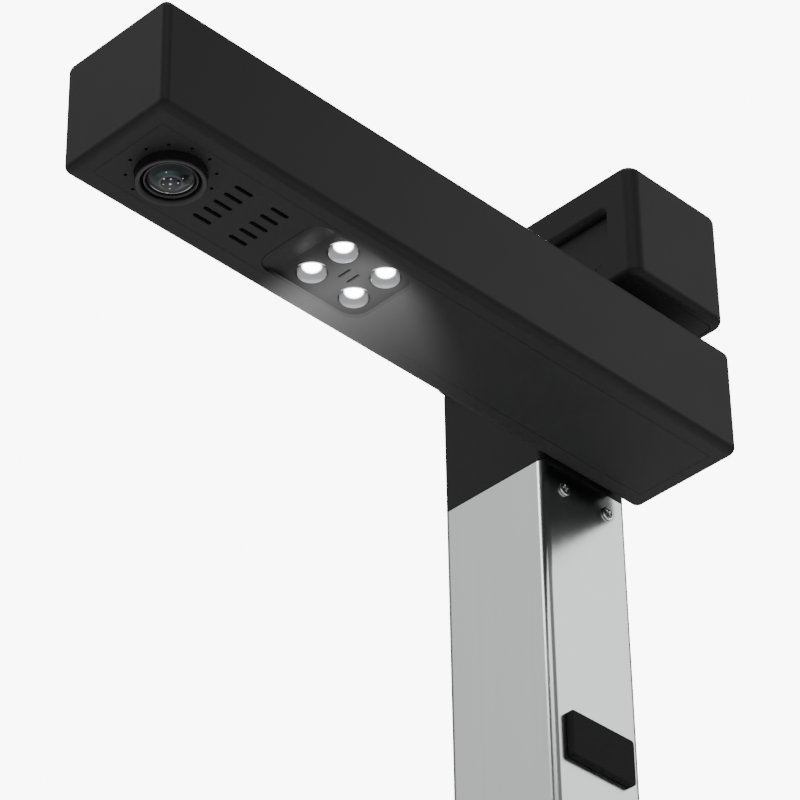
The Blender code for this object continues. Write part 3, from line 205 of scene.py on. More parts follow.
class Finish:
    """One material and the nodes that feed its Principled shader."""

    def __init__(self, name, **fixed):
        self.material = bpy.data.materials.new(name)
        self.material.use_nodes = True
        self.tree = self.material.node_tree
        self.shader = self.tree.nodes["Principled BSDF"]
        for label, number in fixed.items():
            self.shader.inputs[label.replace("_", " ")].default_value = number

    def __repr__(self):
        return self.material.name

    def node(self, kind, settings, inputs, out=0):
        made = self.tree.nodes.new("ShaderNode" + kind)
        for key, setting in settings.items():
            setattr(made, key, setting)
        for key, given in inputs.items():
            self.join(given, made.inputs[key])
        return Value(self, made.outputs[out])

    def join(self, given, socket):
        if isinstance(given, Value):
            self.tree.links.new(given.socket, socket)
        else:
            socket.default_value = given

    def feed(self, label, given):
        self.join(given, self.shader.inputs[label])

    def place(self, stretch=(1.0, 1.0, 1.0)):
        """The point on the piece, in metres, stretched by a number along each axis."""
        here = self.node("TexCoord", {}, {}, "Object")
        return self.node("VectorMath", {"operation": "MULTIPLY"}, {0: here, 1: stretch})

    def noise(self, place, size, detail=2.0, roughness=0.5):
        inputs = {"Vector": place, "Scale": 1.0 / size, "Detail": detail, "Roughness": roughness}
        return self.node("TexNoise", {}, inputs)

    def cells(self, place, size, out="Distance"):
        return self.node("TexVoronoi", {}, {"Vector": place, "Scale": 1.0 / size}, out)

    def blend(self, amount, first, second):
        """A colour between two, by an amount."""
        colours = [c if isinstance(c, Value) else (*c, 1.0) for c in (first, second)]
        return self.node("Mix", {"data_type": "RGBA"}, {0: amount, 6: colours[0], 7: colours[1]}, 2)

    def coat(self, amount, first, second, roughness, height, strength, depth):
        """A colour between two, a roughness, and a bump from a height."""
        self.feed("Base Color", self.blend(amount, first, second))
        self.feed("Roughness", roughness)
        inputs = {"Height": height, "Strength": strength, "Distance": depth}
        self.feed("Normal", self.node("Bump", {}, inputs))


print("finish language ready")

# %% A recipe of geometry nodes with named inputs
class Recipe:
    def __init__(self, name, **inputs):
        self.tree = bpy.data.node_groups.new(name, "GeometryNodeTree")
        self.ids = {}
        for label, kind in [("Geometry", "Geometry"), *inputs.items()]:
            socket = self.tree.interface.new_socket(label, in_out="INPUT", socket_type="NodeSocket" + kind)
            self.ids[label] = socket.identifier
        self.tree.interface.new_socket("Geometry", in_out="OUTPUT", socket_type="NodeSocketGeometry")
        self.given = self.tree.nodes.new("NodeGroupInput")
        self.end = self.tree.nodes.new("NodeGroupOutput")

    def __getitem__(self, label):
        return self.given.outputs[label]

    def node(self, kind, inputs, out=0, **settings):
        made = self.tree.nodes.new(kind if kind.startswith("Function") else "GeometryNode" + kind)
        for key, setting in settings.items():
            setattr(made, key, setting)
        for key, given in inputs.items():
            if isinstance(given, bpy.types.NodeSocket):
                self.tree.links.new(given, made.inputs[key])
            else:
                made.inputs[key].default_value = given
        return made.outputs[out]

    def finish(self, instances):
        """End the tree with real meshes in one material."""
        real = self.node("RealizeInstances", {0: instances})
        painted = self.node("SetMaterial", {"Geometry": real, "Material": self["Material"]})
        self.tree.links.new(painted, self.end.inputs[0])

    def run(self, name, seed_mesh, **values):
        """Run the tree on a mesh of places and return the result as a plain object."""
        item = bpy.data.objects.new(name, seed_mesh)
        bpy.context.scene.collection.objects.link(item)
        step = item.modifiers.new("recipe", "NODES")
        step.node_group = self.tree
        for label, value in values.items():
            step[self.ids[label]] = value
        return apply_modifiers(item)


def apply_modifiers(item):
    """Work the object's modifiers into its mesh."""
    bpy.context.view_layer.update()
    graph = bpy.context.evaluated_depsgraph_get()
    made = bpy.data.meshes.new_from_object(item.evaluated_get(graph), depsgraph=graph)
    item.modifiers.clear()
    item.data = made
    return item


def places_mesh(places, aims=None):
    """A mesh of loose points, each with the way it faces."""
    mesh = bpy.data.meshes.new("places")
    mesh.from_pydata([tuple(p) for p in places], [], [])
    aim = mesh.attributes.new("aim", "FLOAT_VECTOR", "POINT")
    for k in range(len(places)):
        aim.data[k].vector = aims[k] if aims else (0.0, 0.0, 1.0)
    return mesh


print("recipe language ready")

# %% [markdown]
# ## Shapes by hand
# The housings are mouldings and extrusions, so their shapes are outlines with round corners that are
# pulled along an axis, with their end edges rounded over.  Round pieces are turned from a profile.

# %% Outlines and solids
def outline(cu, cv, width, height, radius, steps=10, low_radius=None):
    """Rectangle with round corners, counter-clockwise; the lower corners may differ."""
    points = []
    for su, sv, start in ((1, 1, 0), (-1, 1, 90), (-1, -1, 180), (1, -1, 270)):
        bend = radius if sv > 0 or low_radius is None else low_radius
        mu = cu + su * (width / 2 - bend)
        mv = cv + sv * (height / 2 - bend)
        for k in range(steps + 1):
            angle = math.radians(start + 90 * k / steps)
            points.append((mu + bend * math.cos(angle), mv + bend * math.sin(angle)))
    return points


def to_space(axis, u, v, w):
    return {"x": Vector((w, u, v)), "y": Vector((u, w, v)), "z": Vector((u, v, w))}[axis]


def loft(loops):
    """Skin between closed loops of equally many points, with both ends closed."""
    bm = bmesh.new()
    rings = [[bm.verts.new(point) for point in loop] for loop in loops]
    bm.faces.new(rings[0])
    bm.faces.new(rings[-1])
    for lower, upper in zip(rings, rings[1:]):
        for k in range(len(lower)):
            n = (k + 1) % len(lower)
            bm.faces.new((lower[k], lower[n], upper[n], upper[k]))
    bmesh.ops.recalc_face_normals(bm, faces=bm.faces)
    return bm


def prism(axis, shape, start, end):
    return loft([[to_space(axis, u, v, w) for u, v in shape] for w in (start, end)])


def round_over(bm, axis, places, radius, steps=8):
    """Round every edge that lies in one of the planes across the axis."""
    index = "xyz".index(axis)
    edges = [e for e in bm.edges for place in places
             if all(abs(v.co[index] - place) < 1e-6 for v in e.verts)]
    bmesh.ops.bevel(bm, geom=edges, offset=radius, offset_type="OFFSET", segments=steps, profile=0.5,
                    affect="EDGES", clamp_overlap=True)
    return bm


def lathe(profile, steps=96, axis="z", centre=(0.0, 0.0, 0.0), closed=False):
    """Turn (radius, height) points about an axis through a centre."""
    bm = bmesh.new()
    rings = []
    for radius, height in profile:
        count = steps if radius > 1e-7 else 1
        turns = [2 * math.pi * k / steps for k in range(count)]
        rings.append([bm.verts.new(to_space(axis, radius * math.cos(t), radius * math.sin(t), height))
                      for t in turns])
    pairs = list(zip(rings, rings[1:])) + ([(rings[-1], rings[0])] if closed else [])
    for lower, upper in pairs:
        for k in range(steps):
            n = (k + 1) % steps
            corners = list(dict.fromkeys((lower[k % len(lower)], lower[n % len(lower)],
                                          upper[n % len(upper)], upper[k % len(upper)])))
            if len(corners) > 2:
                bm.faces.new(corners)
    bmesh.ops.translate(bm, verts=bm.verts, vec=Vector(centre))
    bmesh.ops.recalc_face_normals(bm, faces=bm.faces)
    return bm


def softened(profile, radius, steps=4, closed=False):
    """Round the corners of a turning profile, as a cutter's nose leaves them."""
    points = [Vector(p) for p in profile]
    count = len(points)
    result = []
    for k, here in enumerate(points):
        if not closed and k in (0, count - 1):
            result.append(tuple(here))
            continue
        before, after = points[k - 1] - here, points[(k + 1) % count] - here
        reach = min(radius, before.length * 0.45, after.length * 0.45)
        start, end = here + before.normalized() * reach, here + after.normalized() * reach
        for j in range(steps + 1):
            t = j / steps
            result.append(tuple(start * (1 - t) ** 2 + here * 2 * t * (1 - t) + end * t ** 2))
    return result


def new_object(name, bm):
    mesh = bpy.data.meshes.new(name)
    bm.to_mesh(mesh)
    bm.free()
    item = bpy.data.objects.new(name, mesh)
    bpy.context.scene.collection.objects.link(item)
    return item


def carve(item, *shapes, operation="DIFFERENCE"):
    """Cut the shapes from an object, or weld them on, and throw the shapes away."""
    for shape in shapes:
        step = item.modifiers.new("carve", "BOOLEAN")
        step.operation = operation
        step.solver = "EXACT"
        step.object = shape
    apply_modifiers(item)
    for shape in shapes:
        bpy.data.objects.remove(shape, do_unlink=True)
    return item


def block(axis, shape, start, end):
    """A prism that cuts or is welded on."""
    return new_object("block", prism(axis, shape, start, end))


def bore(radius, start, end, steps, axis, centre):
    """A round bar that cuts a hole."""
    profile = [(0, start), (radius, start), (radius, end), (0, end)]
    return new_object("block", lathe(profile, steps, axis, centre))


def extent(node):
    """A solid's lowest corner, highest corner and middle."""
    low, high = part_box(node)
    return low, high, (low + high) / 2


print("shape helpers ready")

# %% Hand a piece over to the frame
STOOD_FOR = set()


def settle(item, finish, slot, *nodes, edge=0.0, corner=35.0, body=SCANNER):
    """Soften the edges, give the finish and let the piece ride in place of the solids it stands for."""
    mesh = item.data
    mesh.materials.clear()
    mesh.materials.append(finish.material)
    mesh.polygons.foreach_set("material_index", [0] * len(mesh.polygons))
    mesh.shade_smooth()
    if edge:
        step = item.modifiers.new("edges", "BEVEL")
        step.width = edge
        step.segments = 2
        step.limit_method = "ANGLE"
        step.angle_limit = math.radians(corner)
    else:
        mesh.set_sharp_from_angle(angle=math.radians(corner))
    shade = item.modifiers.new("shading", "WEIGHTED_NORMAL")
    shade.keep_sharp = True
    shade.weight = 90
    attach(item, body)
    if nodes:
        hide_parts(*nodes)
    STOOD_FOR.update(nodes)
    print(item.name + ":", len(mesh.polygons), "faces,", finish)


print("hand-over ready")

# %% [markdown]
# ## Finishes
# The black housings are mouldings from a spark-eroded die, which leaves a sandy grain of a few tenths of
# a millimetre.  Two sizes of noise give the grain and the slow changes of gloss of a large moulding.

# %% Moulded black plastic
def moulded(name, colour, roughness, grain=0.00035, depth=0.00002, level=0.5):
    made = Finish(name, IOR=1.46, Specular_IOR_Level=level)
    here = made.place()
    grains = made.noise(here, grain, 3.0, 0.6)
    clouds = made.noise(here, 0.035, 3.0, 0.55)
    shade = 0.35 * grains + 0.65 * clouds
    made.coat(shade, [c * 0.80 for c in colour], [c * 1.20 for c in colour],
              roughness - 0.06 + 0.12 * grains + 0.05 * clouds, grains, 0.25, depth)
    return made


HOUSING = {"colour": (0.0165, 0.0165, 0.0170), "roughness": 0.48, "level": 0.22}
BLACK = moulded("black_plastic", **HOUSING)
SATIN = moulded("satin_black", (0.0110, 0.0110, 0.0115), 0.34, grain=0.0006, depth=0.000008, level=0.45)
KEYS = moulded("button_plastic", (0.0750, 0.0770, 0.0800), 0.40, grain=0.0005)
print("mouldings:", BLACK, SATIN, KEYS)

# %% [markdown]
# The lamps' soft beam along the arm's underside is painted light, which the plastic itself emits.  It
# starts ahead of the lamps, fades towards the far side and dies away to the rear.  In the lamps' tray the
# painted beam is dimmer, and a painted arc of light round each lamp's rim lies on the side turned away from
# the beam.

# %% Black plastic with the lamps' light painted on
BEAM_FRONT, BEAM_REAR = -0.050, 0.065      # the beam is full at the first and gone at the second
PAINTED_BEAM_LIGHT = (0.143, 0.143, 0.143)
PAINTED_BEAM_STRENGTH = 1.5
LED_NODES = [f"led_lens_{k}" for k in (1, 2, 3, 4)]
LENSWARD = (0.72, -0.69)                   # from a lamp to the side of it that the arc lies on


def lit_black(name, dim, start, full, high):
    """Housing plastic with the lamps' beam painted on as emission, rising between two places along the arm.
    """
    made = moulded(name, **HOUSING)
    here = made.place()
    x, y, z = here.part("x"), here.part("y"), here.part("z")
    # the beam is painted light, emitted by the plastic itself
    beam = dim * (1.0 - y.step(BEAM_FRONT, BEAM_REAR, "LINEAR")) ** 2.5
    near_side = (1.0 - (x + 0.55 * y).step(0.022, 0.047)) * (1.0 - x.step(0.043, 0.059))
    under = 1.0 - (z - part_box("arm_shell")[0].z).step(high, high * 1.2 + 0.001)
    light = made.blend(beam * y.step(start, full) * near_side * under, (0.0, 0.0, 0.0), PAINTED_BEAM_LIGHT)
    # each lamp's rim gets a painted arc of white light
    for node in LED_NODES if dim < 1.0 else ():
        lamp = extent(node)[2]
        u, v = x - lamp.x, y - lamp.y
        reach = (u * u + v * v) ** 0.5
        band = reach.step(0.00755, 0.00775) * (1.0 - reach.step(0.00810, 0.00830))
        turned = (LENSWARD[0] * u + LENSWARD[1] * v).step(0.0052, 0.0072)
        light = made.blend(band * turned, light, (1.0, 1.0, 1.0))
    made.feed("Emission Color", light)
    made.feed("Emission Strength", PAINTED_BEAM_STRENGTH)
    return made


TRAY_BEAM_LIT = lit_black("tray_black", 0.66, -0.076, -0.050, 0.00236)
LIT_BLACK = lit_black("lit_black", 1.0, -0.082, -0.055, 0.003)
print("lit plastic:", TRAY_BEAM_LIT, LIT_BLACK)

# %% [markdown]
# The display window and the control strip are gloss acrylic.  Their surface is even, so only a faint
# haze of polishing marks and a very slow waviness keep the reflections from looking like a mirror's.

# %% Gloss panels
def gloss(name, colour, roughness, level=0.5):
    made = Finish(name, IOR=1.49, Specular_IOR_Level=level)
    here = made.place()
    haze = made.noise(here, 0.012, 4.0, 0.6)
    scratches = made.noise(made.place((900.0, 40.0, 40.0)), 1.0, 2.0, 0.7)
    made.coat(haze, [c * 0.85 for c in colour], [c * 1.15 for c in colour],
              roughness + 0.05 * haze + 0.04 * scratches, haze, 0.04, 0.00005)
    return made


GLOSS = gloss("gloss_black", (0.0080, 0.0080, 0.0090), 0.08)
DISPLAY = gloss("display_window", (0.0085, 0.0088, 0.0095), 0.34, level=0.24)
print("gloss panels:", GLOSS, DISPLAY)

# %% [markdown]
# Rubber is duller than plastic and picks up a little dust, so its grain is coarser and paler specks
# are scattered over it.

# %% Rubber
def make_rubber():
    made = Finish("black_rubber", IOR=1.5, Specular_IOR_Level=0.25)
    here = made.place()
    grain = made.noise(here, 0.0006, 4.0, 0.65)
    specks = made.noise(here, 0.0011, 1.0, 0.4).step(0.66, 0.74)
    colour = made.blend(grain, (0.0085, 0.0085, 0.0085), (0.0165, 0.0165, 0.0165))
    made.coat(0.35 * specks, colour, (0.05, 0.05, 0.05), 0.62 + 0.22 * grain, grain, 0.35, 0.00005)
    return made


RUBBER = make_rubber()
print("rubber:", RUBBER)

# %% [markdown]
# The mast is an extrusion that was brushed along its length and then anodised in silver.  Noise that is
# squeezed across the brushing and drawn out along it makes the fine lines.  They vary the colour and
# the roughness a little and give a very shallow bump.

# %% Brushed silver and other metals
def brushed(name, colour, roughness, stretch, depth=0.000004, contrast=0.10):
    made = Finish(name, Metallic=1.0)
    lines = made.noise(made.place(stretch), 1.0, 4.0, 0.7)
    broad = made.noise(made.place([s * 0.12 for s in stretch]), 1.0, 2.0, 0.5)
    shade = 0.6 * lines + 0.4 * broad
    made.coat(shade, [c * (1.0 - contrast) for c in colour], [c * (1.0 + contrast) for c in colour],
              roughness - 0.05 + 0.10 * lines + 0.04 * broad, lines, 0.20, depth)
    return made


def spangled(name, colour, roughness):
    """Zinc plate: a patchwork of crystals, each a slightly different grey."""
    made = Finish(name, Metallic=1.0)
    here = made.place()
    crystals = made.cells(here, 0.0045, out="Color").part("x")
    fine = made.noise(here, 0.0004, 3.0)
    made.coat(crystals, [c * 0.82 for c in colour], [c * 1.12 for c in colour],
              roughness - 0.08 + 0.16 * crystals + 0.06 * fine, fine, 0.15, 0.00001)
    return made


SILVER = brushed("anodised_aluminium", (0.655, 0.662, 0.670), 0.20, (2600.0, 2600.0, 22.0), contrast=0.07)
BRIGHT = brushed("bright_screw", (0.78, 0.79, 0.80), 0.17, (1500.0, 1500.0, 1500.0), contrast=0.12)
TIN = brushed("tin_plate", (0.62, 0.63, 0.64), 0.30, (90.0, 900.0, 900.0))
ZINC = spangled("zinc_plate", (0.46, 0.47, 0.48), 0.42)
print("metals:", SILVER, BRIGHT, TIN, ZINC)

# %% Painted steel and circuit board
def make_painted():
    made = Finish("painted_steel", IOR=1.5, Specular_IOR_Level=0.4)
    here = made.place()
    peel = made.noise(here, 0.0016, 2.0, 0.5)
    fine = made.noise(here, 0.0003, 2.0, 0.5)
    made.coat(peel, (0.020, 0.020, 0.021), (0.032, 0.032, 0.033), 0.48 + 0.14 * fine, peel, 0.30, 0.00006)
    return made


def make_board():
    """Green lacquer over copper tracks, with tinned pads."""
    made = Finish("circuit_board", IOR=1.5)
    here = made.place()
    squares = made.node("TexBrick", {"offset": 0.5},
                        {"Vector": here, "Scale": 300.0, "Mortar Size": 0.12}, 1)
    tracks = 1.0 - squares
    pads = 1.0 - made.cells(here, 0.0034).step(0.16, 0.20)
    cloth = made.noise(here, 0.0004, 2.0)
    green = made.blend(tracks, (0.010, 0.060, 0.026), (0.016, 0.098, 0.044))
    made.coat(pads, green, (0.55, 0.50, 0.38), 0.34 + 0.12 * cloth, tracks, 0.25, 0.00003)
    made.feed("Metallic", 0.8 * pads)
    return made


PAINTED = make_painted()
BOARD = make_board()
print("plates:", PAINTED, BOARD)

# %% [markdown]
# The front lens carries an anti-reflection coating over nearly black glass.  Its reflections are painted
# on by their place on the glass: a grey-green sweep, a violet iris with a thin rim, a bright arc at the
# edge and the small glints of the lights.  `near` runs towards the arm's open side and `aside` across.

# %% Coated glass
GLASS_RADIUS = 0.0101
TOWARDS = (0.70, -0.71)        # level direction of the arm's open side
GLINTS = (                     # aside, near and size, in radii of the glass
    (-0.26, 0.30, 0.050), (0.02, 0.30, 0.050), (-0.06, -0.30, 0.045),
    (0.30, 0.05, 0.045), (-0.30, -0.02, 0.04), (-0.02, 0.02, 0.070),
    (0.50, 0.25, 0.035), (-0.20, -0.78, 0.075), (-0.15, 0.62, 0.035))
GLINT_COLOUR = (0.80, 0.78, 0.82)
REFLECTION_STRENGTH = 0.8


def make_glass():
    made = Finish("coated_glass", IOR=1.5, Specular_IOR_Level=0.22)
    here = made.place()
    centre = extent("lens_barrel")[2]
    x, y = (here.part("x") - centre.x) / GLASS_RADIUS, (here.part("y") - centre.y) / GLASS_RADIUS
    near = x * TOWARDS[0] + y * TOWARDS[1]
    aside = y * TOWARDS[0] - x * TOWARDS[1]
    reach = (x * x + y * y) ** 0.5

    def band(inner, outer):
        """1 on a ring whose two borders are soft."""
        return reach.step(*inner) * (1.0 - reach.step(*outer))

    green = near.step(0.2, 0.5) * band((0.46, 0.54), (0.66, 0.74)) * (1.0 - aside.step(0.0, 0.5))
    violet = made.blend(reach.step(0.0, 0.4), (0.040, 0.033, 0.052), (0.007, 0.007, 0.009))
    light = made.blend(near.step(-0.8, 0.5), (0.052, 0.056, 0.056), (0.004, 0.005, 0.005))
    layers = [
        (0.7 * green, (0.030, 0.070, 0.062)),
        (band((0.38, 0.44), (0.46, 0.54)), (0.075, 0.075, 0.085)),
        (1.0 - reach.step(0.40, 0.45), violet),
        (reach.step(0.90, 0.98), (0.010, 0.010, 0.011)),
        ((0.0 - near).step(0.25, 0.75) * band((0.84, 0.90), (0.95, 0.985)), (0.50, 0.51, 0.52)),
    ]
    for u, v, size in GLINTS:
        away = ((near - v) ** 2.0 + (aside - u) ** 2.0) ** 0.5
        layers.append((1.0 - away.step(size * 0.3, size * 1.1), GLINT_COLOUR))
    for amount, colour in layers:
        light = made.blend(amount, light, colour)
    dust = made.noise(here, 0.0005, 2.0, 0.5).step(0.70, 0.76)
    made.feed("Emission Color", light)
    made.feed("Emission Strength", REFLECTION_STRENGTH)
    made.feed("Base Color", made.blend(0.3 * dust, (0.004, 0.004, 0.005), (0.10, 0.10, 0.10)))
    made.feed("Roughness", 0.05 + 0.10 * dust)
    return made


GLASS = make_glass()
print("glass:", GLASS)

# %% [markdown]
# The lamps are clear domes over bright chips.  Each dome carries its own small coordinates, saved on the
# mesh as it is copied, so that one finish lights every dome in the same way: white where the chip
# shines through and soft grey where only the milky rim is seen.

# %% Lit lamp domes
LAMP_GLOW = 16.0
LED_RADIUS = 0.0063
CHIP_AHEAD = 0.96              # the chip's image, in radii of the dome: its middle and its two half widths
CHIP_HALF = (0.62, 0.70)


def make_lamp_finish():
    made = Finish("led_lens", IOR=1.49, Roughness=0.22, Emission_Strength=LAMP_GLOW)
    own = made.node("Attribute", {"attribute_name": "own_place"}, {}, 1)
    x, y = own.part("x"), own.part("y")
    ahead = (x * LENSWARD[0] + y * LENSWARD[1]) / LED_RADIUS
    across = (y * LENSWARD[0] - x * LENSWARD[1]) / LED_RADIUS
    drop, wide = (ahead - CHIP_AHEAD) / CHIP_HALF[0], across / CHIP_HALF[1]
    chip = (1.0 - (drop * drop + wide * wide).step(0.50, 1.60)) ** 3.0
    rim = (ahead * ahead + across * across).step(0.70, 0.98)
    lower = (0.0 - ahead).step(0.1, 0.7)
    grey = made.blend(lower, (0.0150, 0.0151, 0.0154), (0.0330, 0.0333, 0.0338))
    grey = made.blend(0.55 * rim, grey, (0.0100, 0.0100, 0.0100))
    milk = made.noise(made.place(), 0.0009, 2.0)
    made.feed("Emission Color", made.blend(chip, grey, (1.0, 1.0, 1.0)))
    made.feed("Base Color", made.blend(milk, (0.10, 0.10, 0.11), (0.15, 0.15, 0.16)))
    return made


LAMP = make_lamp_finish()
print("lamp finish:", LAMP)

# %% [markdown]
# ## Recipes for what repeats
# Holes and slots are punched with bars of one outline, so a recipe sweeps that outline along a short
# line and puts a copy at every given point.  A second recipe puts a copy of a finished small part, such
# as a screw, at every point, faces it outwards and spins it by a seeded random angle.

# %% The punch recipe
def punch_recipe():
    made = Recipe("punches", Width="Float", Length="Float", Corner="Float", Depth="Float", Steps="Int",
                  Material="Material")
    shape = made.node("CurvePrimitiveQuadrilateral", {"Width": made["Width"], "Height": made["Length"]})
    shape = made.node("FilletCurve", {"Curve": shape, "Radius": made["Corner"], "Count": made["Steps"]},
                      mode="POLY")
    line = made.node("CurvePrimitiveLine", {"Direction": (0.0, 0.0, 1.0), "Length": made["Depth"]},
                     mode="DIRECTION")
    bar = made.node("CurveToMesh", {"Curve": line, "Profile Curve": shape, "Fill Caps": True})
    copies = made.node("InstanceOnPoints", {"Points": made["Geometry"], "Instance": bar})
    made.finish(copies)
    return made


PUNCH = punch_recipe()


def punches(places, width, length, depth, steps):
    """Bars whose narrow sides are all but fully round."""
    return PUNCH.run("block", places_mesh(places), Width=width, Length=length,
                     Corner=min(width, length) * 0.4995, Depth=depth, Steps=steps, Material=BLACK.material)


print("recipe:", PUNCH.tree.name)

# %% The scatter recipe
def scatter_recipe():
    made = Recipe("scatter", Part="Object", Spin="Float", Seed="Int", Material="Material")
    part = made.node("ObjectInfo", {"Object": made["Part"]}, "Geometry")
    here = made.node("InputPosition", {})
    part = made.node("StoreNamedAttribute", {"Geometry": part, "Name": "own_place", "Value": here},
                     data_type="FLOAT_VECTOR", domain="POINT")
    aim = made.node("InputNamedAttribute", {"Name": "aim"}, data_type="FLOAT_VECTOR")
    face = made.node("FunctionNodeAlignRotationToVector", {"Vector": aim}, axis="Z")
    chance = made.node("FunctionNodeRandomValue", {"Min": 0.0, "Max": made["Spin"], "Seed": made["Seed"]}, 1,
                       data_type="FLOAT")
    spin = made.node("FunctionNodeAxisAngleToRotation", {"Axis": (0.0, 0.0, 1.0), "Angle": chance})
    turn = made.node("FunctionNodeRotateRotation", {0: face, 1: spin}, rotation_space="LOCAL")
    copies = made.node("InstanceOnPoints", {"Points": made["Geometry"], "Instance": part, "Rotation": turn})
    made.finish(copies)
    return made


SCATTER = scatter_recipe()


def scatter(name, part, places, aims=None, spin=0.0, seed=3, finish=BLACK):
    item = SCATTER.run(name, places_mesh(places, aims), Part=part, Spin=spin, Seed=seed,
                       Material=finish.material)
    bpy.data.objects.remove(part, do_unlink=True)
    return item


print("recipe:", SCATTER.tree.name)

# %% [markdown]
# ## The arm
# The arm is a long square housing with softly rounded long edges and slightly tighter ends.  Its
# underside is closed by a flush cover, whose hairline gap is real: the cover drops into an opening
# that is a fraction of a millimetre larger.

# %% Arm housing
GAP = 0.0003                   # between neighbouring pieces
SEAM = 0.00014                 # round the cover
PAST = 0.001                   # how far a cut runs on beyond the wall
ARM_LONG_RADIUS = 0.0043
ARM_END_RADIUS = 0.0037
ARM_WALL = 0.0022
COVER_RADIUS = 0.0015

arm_low, arm_high, ARM = extent("arm_shell")
cover_low, cover_high, COVER = extent("arm_cover")
UNDERSIDE = arm_low.z


def make_arm_housing():
    size = arm_high - arm_low
    body = prism("y", outline(ARM.x, ARM.z, size.x, size.z, ARM_LONG_RADIUS), arm_low.y, arm_high.y)
    round_over(body, "y", (arm_low.y, arm_high.y), ARM_END_RADIUS)
    shell = new_object("arm_housing", body)
    inside = outline(ARM.x, ARM.z, size.x - 2 * ARM_WALL, size.z - 2 * ARM_WALL,
                     ARM_LONG_RADIUS - ARM_WALL, 4)
    cover = cover_high - cover_low
    mouth = outline(COVER.x, COVER.y, cover.x + 2 * SEAM, cover.y + 2 * SEAM, COVER_RADIUS, 5)
    carve(shell, block("y", inside, arm_low.y + ARM_WALL, arm_high.y - ARM_WALL))
    return carve(shell, block("z", mouth, UNDERSIDE - PAST, UNDERSIDE + ARM_WALL + PAST))


settle(make_arm_housing(), LIT_BLACK, "black_plastic", "arm_shell")

# %% [markdown]
# The cover has a large hole for the camera, twelve pin holes round it for the microphones and sensors,
# two rows of vent slots and the lamp opening.  All small openings come from the punch recipe.

# %% Underside cover
LENS_RIM_RADIUS = 0.0150
RING_HOLES = 12
RING_HOLE_CIRCLE = 0.0187
RING_HOLE_RADIUS = 0.00080
SLOTS_PER_ROW = 5
SLOT_PITCH = 0.0063
SLOT_LENGTH = 0.0099
SLOT_WIDTH = 0.0021
SLOT_ROWS = (0.0614, 0.0818)
LAMP_WIDTH = 0.0390
LAMP_LENGTH = 0.0600
LAMP_RADIUS = 0.0085
COVER_THICKNESS = 0.0020

LENS = extent("lens_barrel")[2]
panel_low, panel_high, LAMPS = extent("lamp_panel")


def make_cover():
    size = cover_high - cover_low
    low, depth = UNDERSIDE - PAST, COVER_THICKNESS + 2 * PAST
    plate = outline(COVER.x, COVER.y, size.x, size.y, COVER_RADIUS - SEAM, 5)
    cover = new_object("underside_cover", prism("z", plate, UNDERSIDE, cover_high.z))
    turns = [math.radians(15 + 360 * k / RING_HOLES) for k in range(RING_HOLES)]
    ring = [(LENS.x + RING_HOLE_CIRCLE * math.cos(t), LENS.y + RING_HOLE_CIRCLE * math.sin(t), low)
            for t in turns]
    first = -(SLOTS_PER_ROW - 1) / 2
    slots = [(ARM.x + (first + k) * SLOT_PITCH, arm_low.y + row, low) for row in SLOT_ROWS
             for k in range(SLOTS_PER_ROW)]
    lens_hole = bore(LENS_RIM_RADIUS + GAP, low, low + depth, 96, "z", (LENS.x, LENS.y, 0.0))
    lamp_hole = block("z", outline(LAMPS.x, LAMPS.y, LAMP_WIDTH, LAMP_LENGTH, LAMP_RADIUS, 12),
                      low, low + depth)
    pins = punches(ring, 2 * RING_HOLE_RADIUS, 2 * RING_HOLE_RADIUS, depth, 4)
    vents = punches(slots, SLOT_WIDTH, SLOT_LENGTH, depth, 8)
    return carve(cover, lens_hole, lamp_hole, pins, vents)


settle(make_cover(), LIT_BLACK, "black_plastic", "arm_cover", edge=0.00006)

# %% [markdown]
# ## The camera
# The camera sits in a turned barrel that stands a few millimetres proud of the cover.  Inside it are a
# black step, a deep groove, a glossy ring and the domed front glass, each turned from a profile whose
# corners are rounded.

# %% Lens barrel and ring
GROOVE_RADIUS = 0.01245
INNER_RADIUS = 0.00465
LENS_DROP = 0.0050
LENS_SHOULDER = 0.0042
lens_place = (LENS.x, LENS.y, UNDERSIDE)


def make_barrel():
    inner = INNER_RADIUS + 0.0030
    body, height = 0.0120, 0.0240
    flange_radius, flange_low, flange_high = 0.0172, 0.0023, 0.0048
    profile = [(GROOVE_RADIUS + 0.0006, -LENS_DROP + 0.0003), (LENS_RIM_RADIUS - 0.0003, -LENS_DROP),
               (LENS_RIM_RADIUS, -LENS_DROP + 0.0007), (LENS_RIM_RADIUS, flange_low),
               (flange_radius, flange_low), (flange_radius, flange_high), (body, flange_high),
               (body, height), (inner, height), (inner, LENS_SHOULDER), (GROOVE_RADIUS, LENS_SHOULDER),
               (GROOVE_RADIUS, -LENS_DROP + 0.0012)]
    profile = softened(profile, 0.0005, 3, closed=True)
    return new_object("camera_barrel", lathe(profile, 128, "z", lens_place, True))


def make_ring():
    inner, outer = GLASS_RADIUS + GAP, GROOVE_RADIUS - GAP
    profile = [(inner, -0.0030), (inner + 0.0005, -0.0036), (inner + 0.0011, -0.0034),
               (inner + 0.0011, -0.0010), (outer, -0.0008), (outer, 0.0036), (inner, 0.0036)]
    profile = softened(profile, 0.0002, 3, closed=True)
    return new_object("camera_ring", lathe(profile, 128, "z", lens_place, True))


settle(make_barrel(), SATIN, "black_plastic", "lens_barrel")
settle(make_ring(), GLOSS, "gloss_black", "lens_ring")

# %% Front glass
GLASS_EDGE = -0.0020
GLASS_BULGE = 0.0034
GLASS_ROWS = 24


def make_front_glass():
    sphere = (GLASS_RADIUS ** 2 + GLASS_BULGE ** 2) / (2 * GLASS_BULGE)
    dome = []
    for k in range(GLASS_ROWS + 1):
        radius = GLASS_RADIUS * k / GLASS_ROWS
        drop = sphere - math.sqrt(sphere ** 2 - radius ** 2)
        dome.append((radius, GLASS_EDGE - GLASS_BULGE + drop))
    profile = dome + [(GLASS_RADIUS, 0.0006), (0.0, 0.0006)]
    return new_object("front_glass", lathe(profile, 128, "z", lens_place))


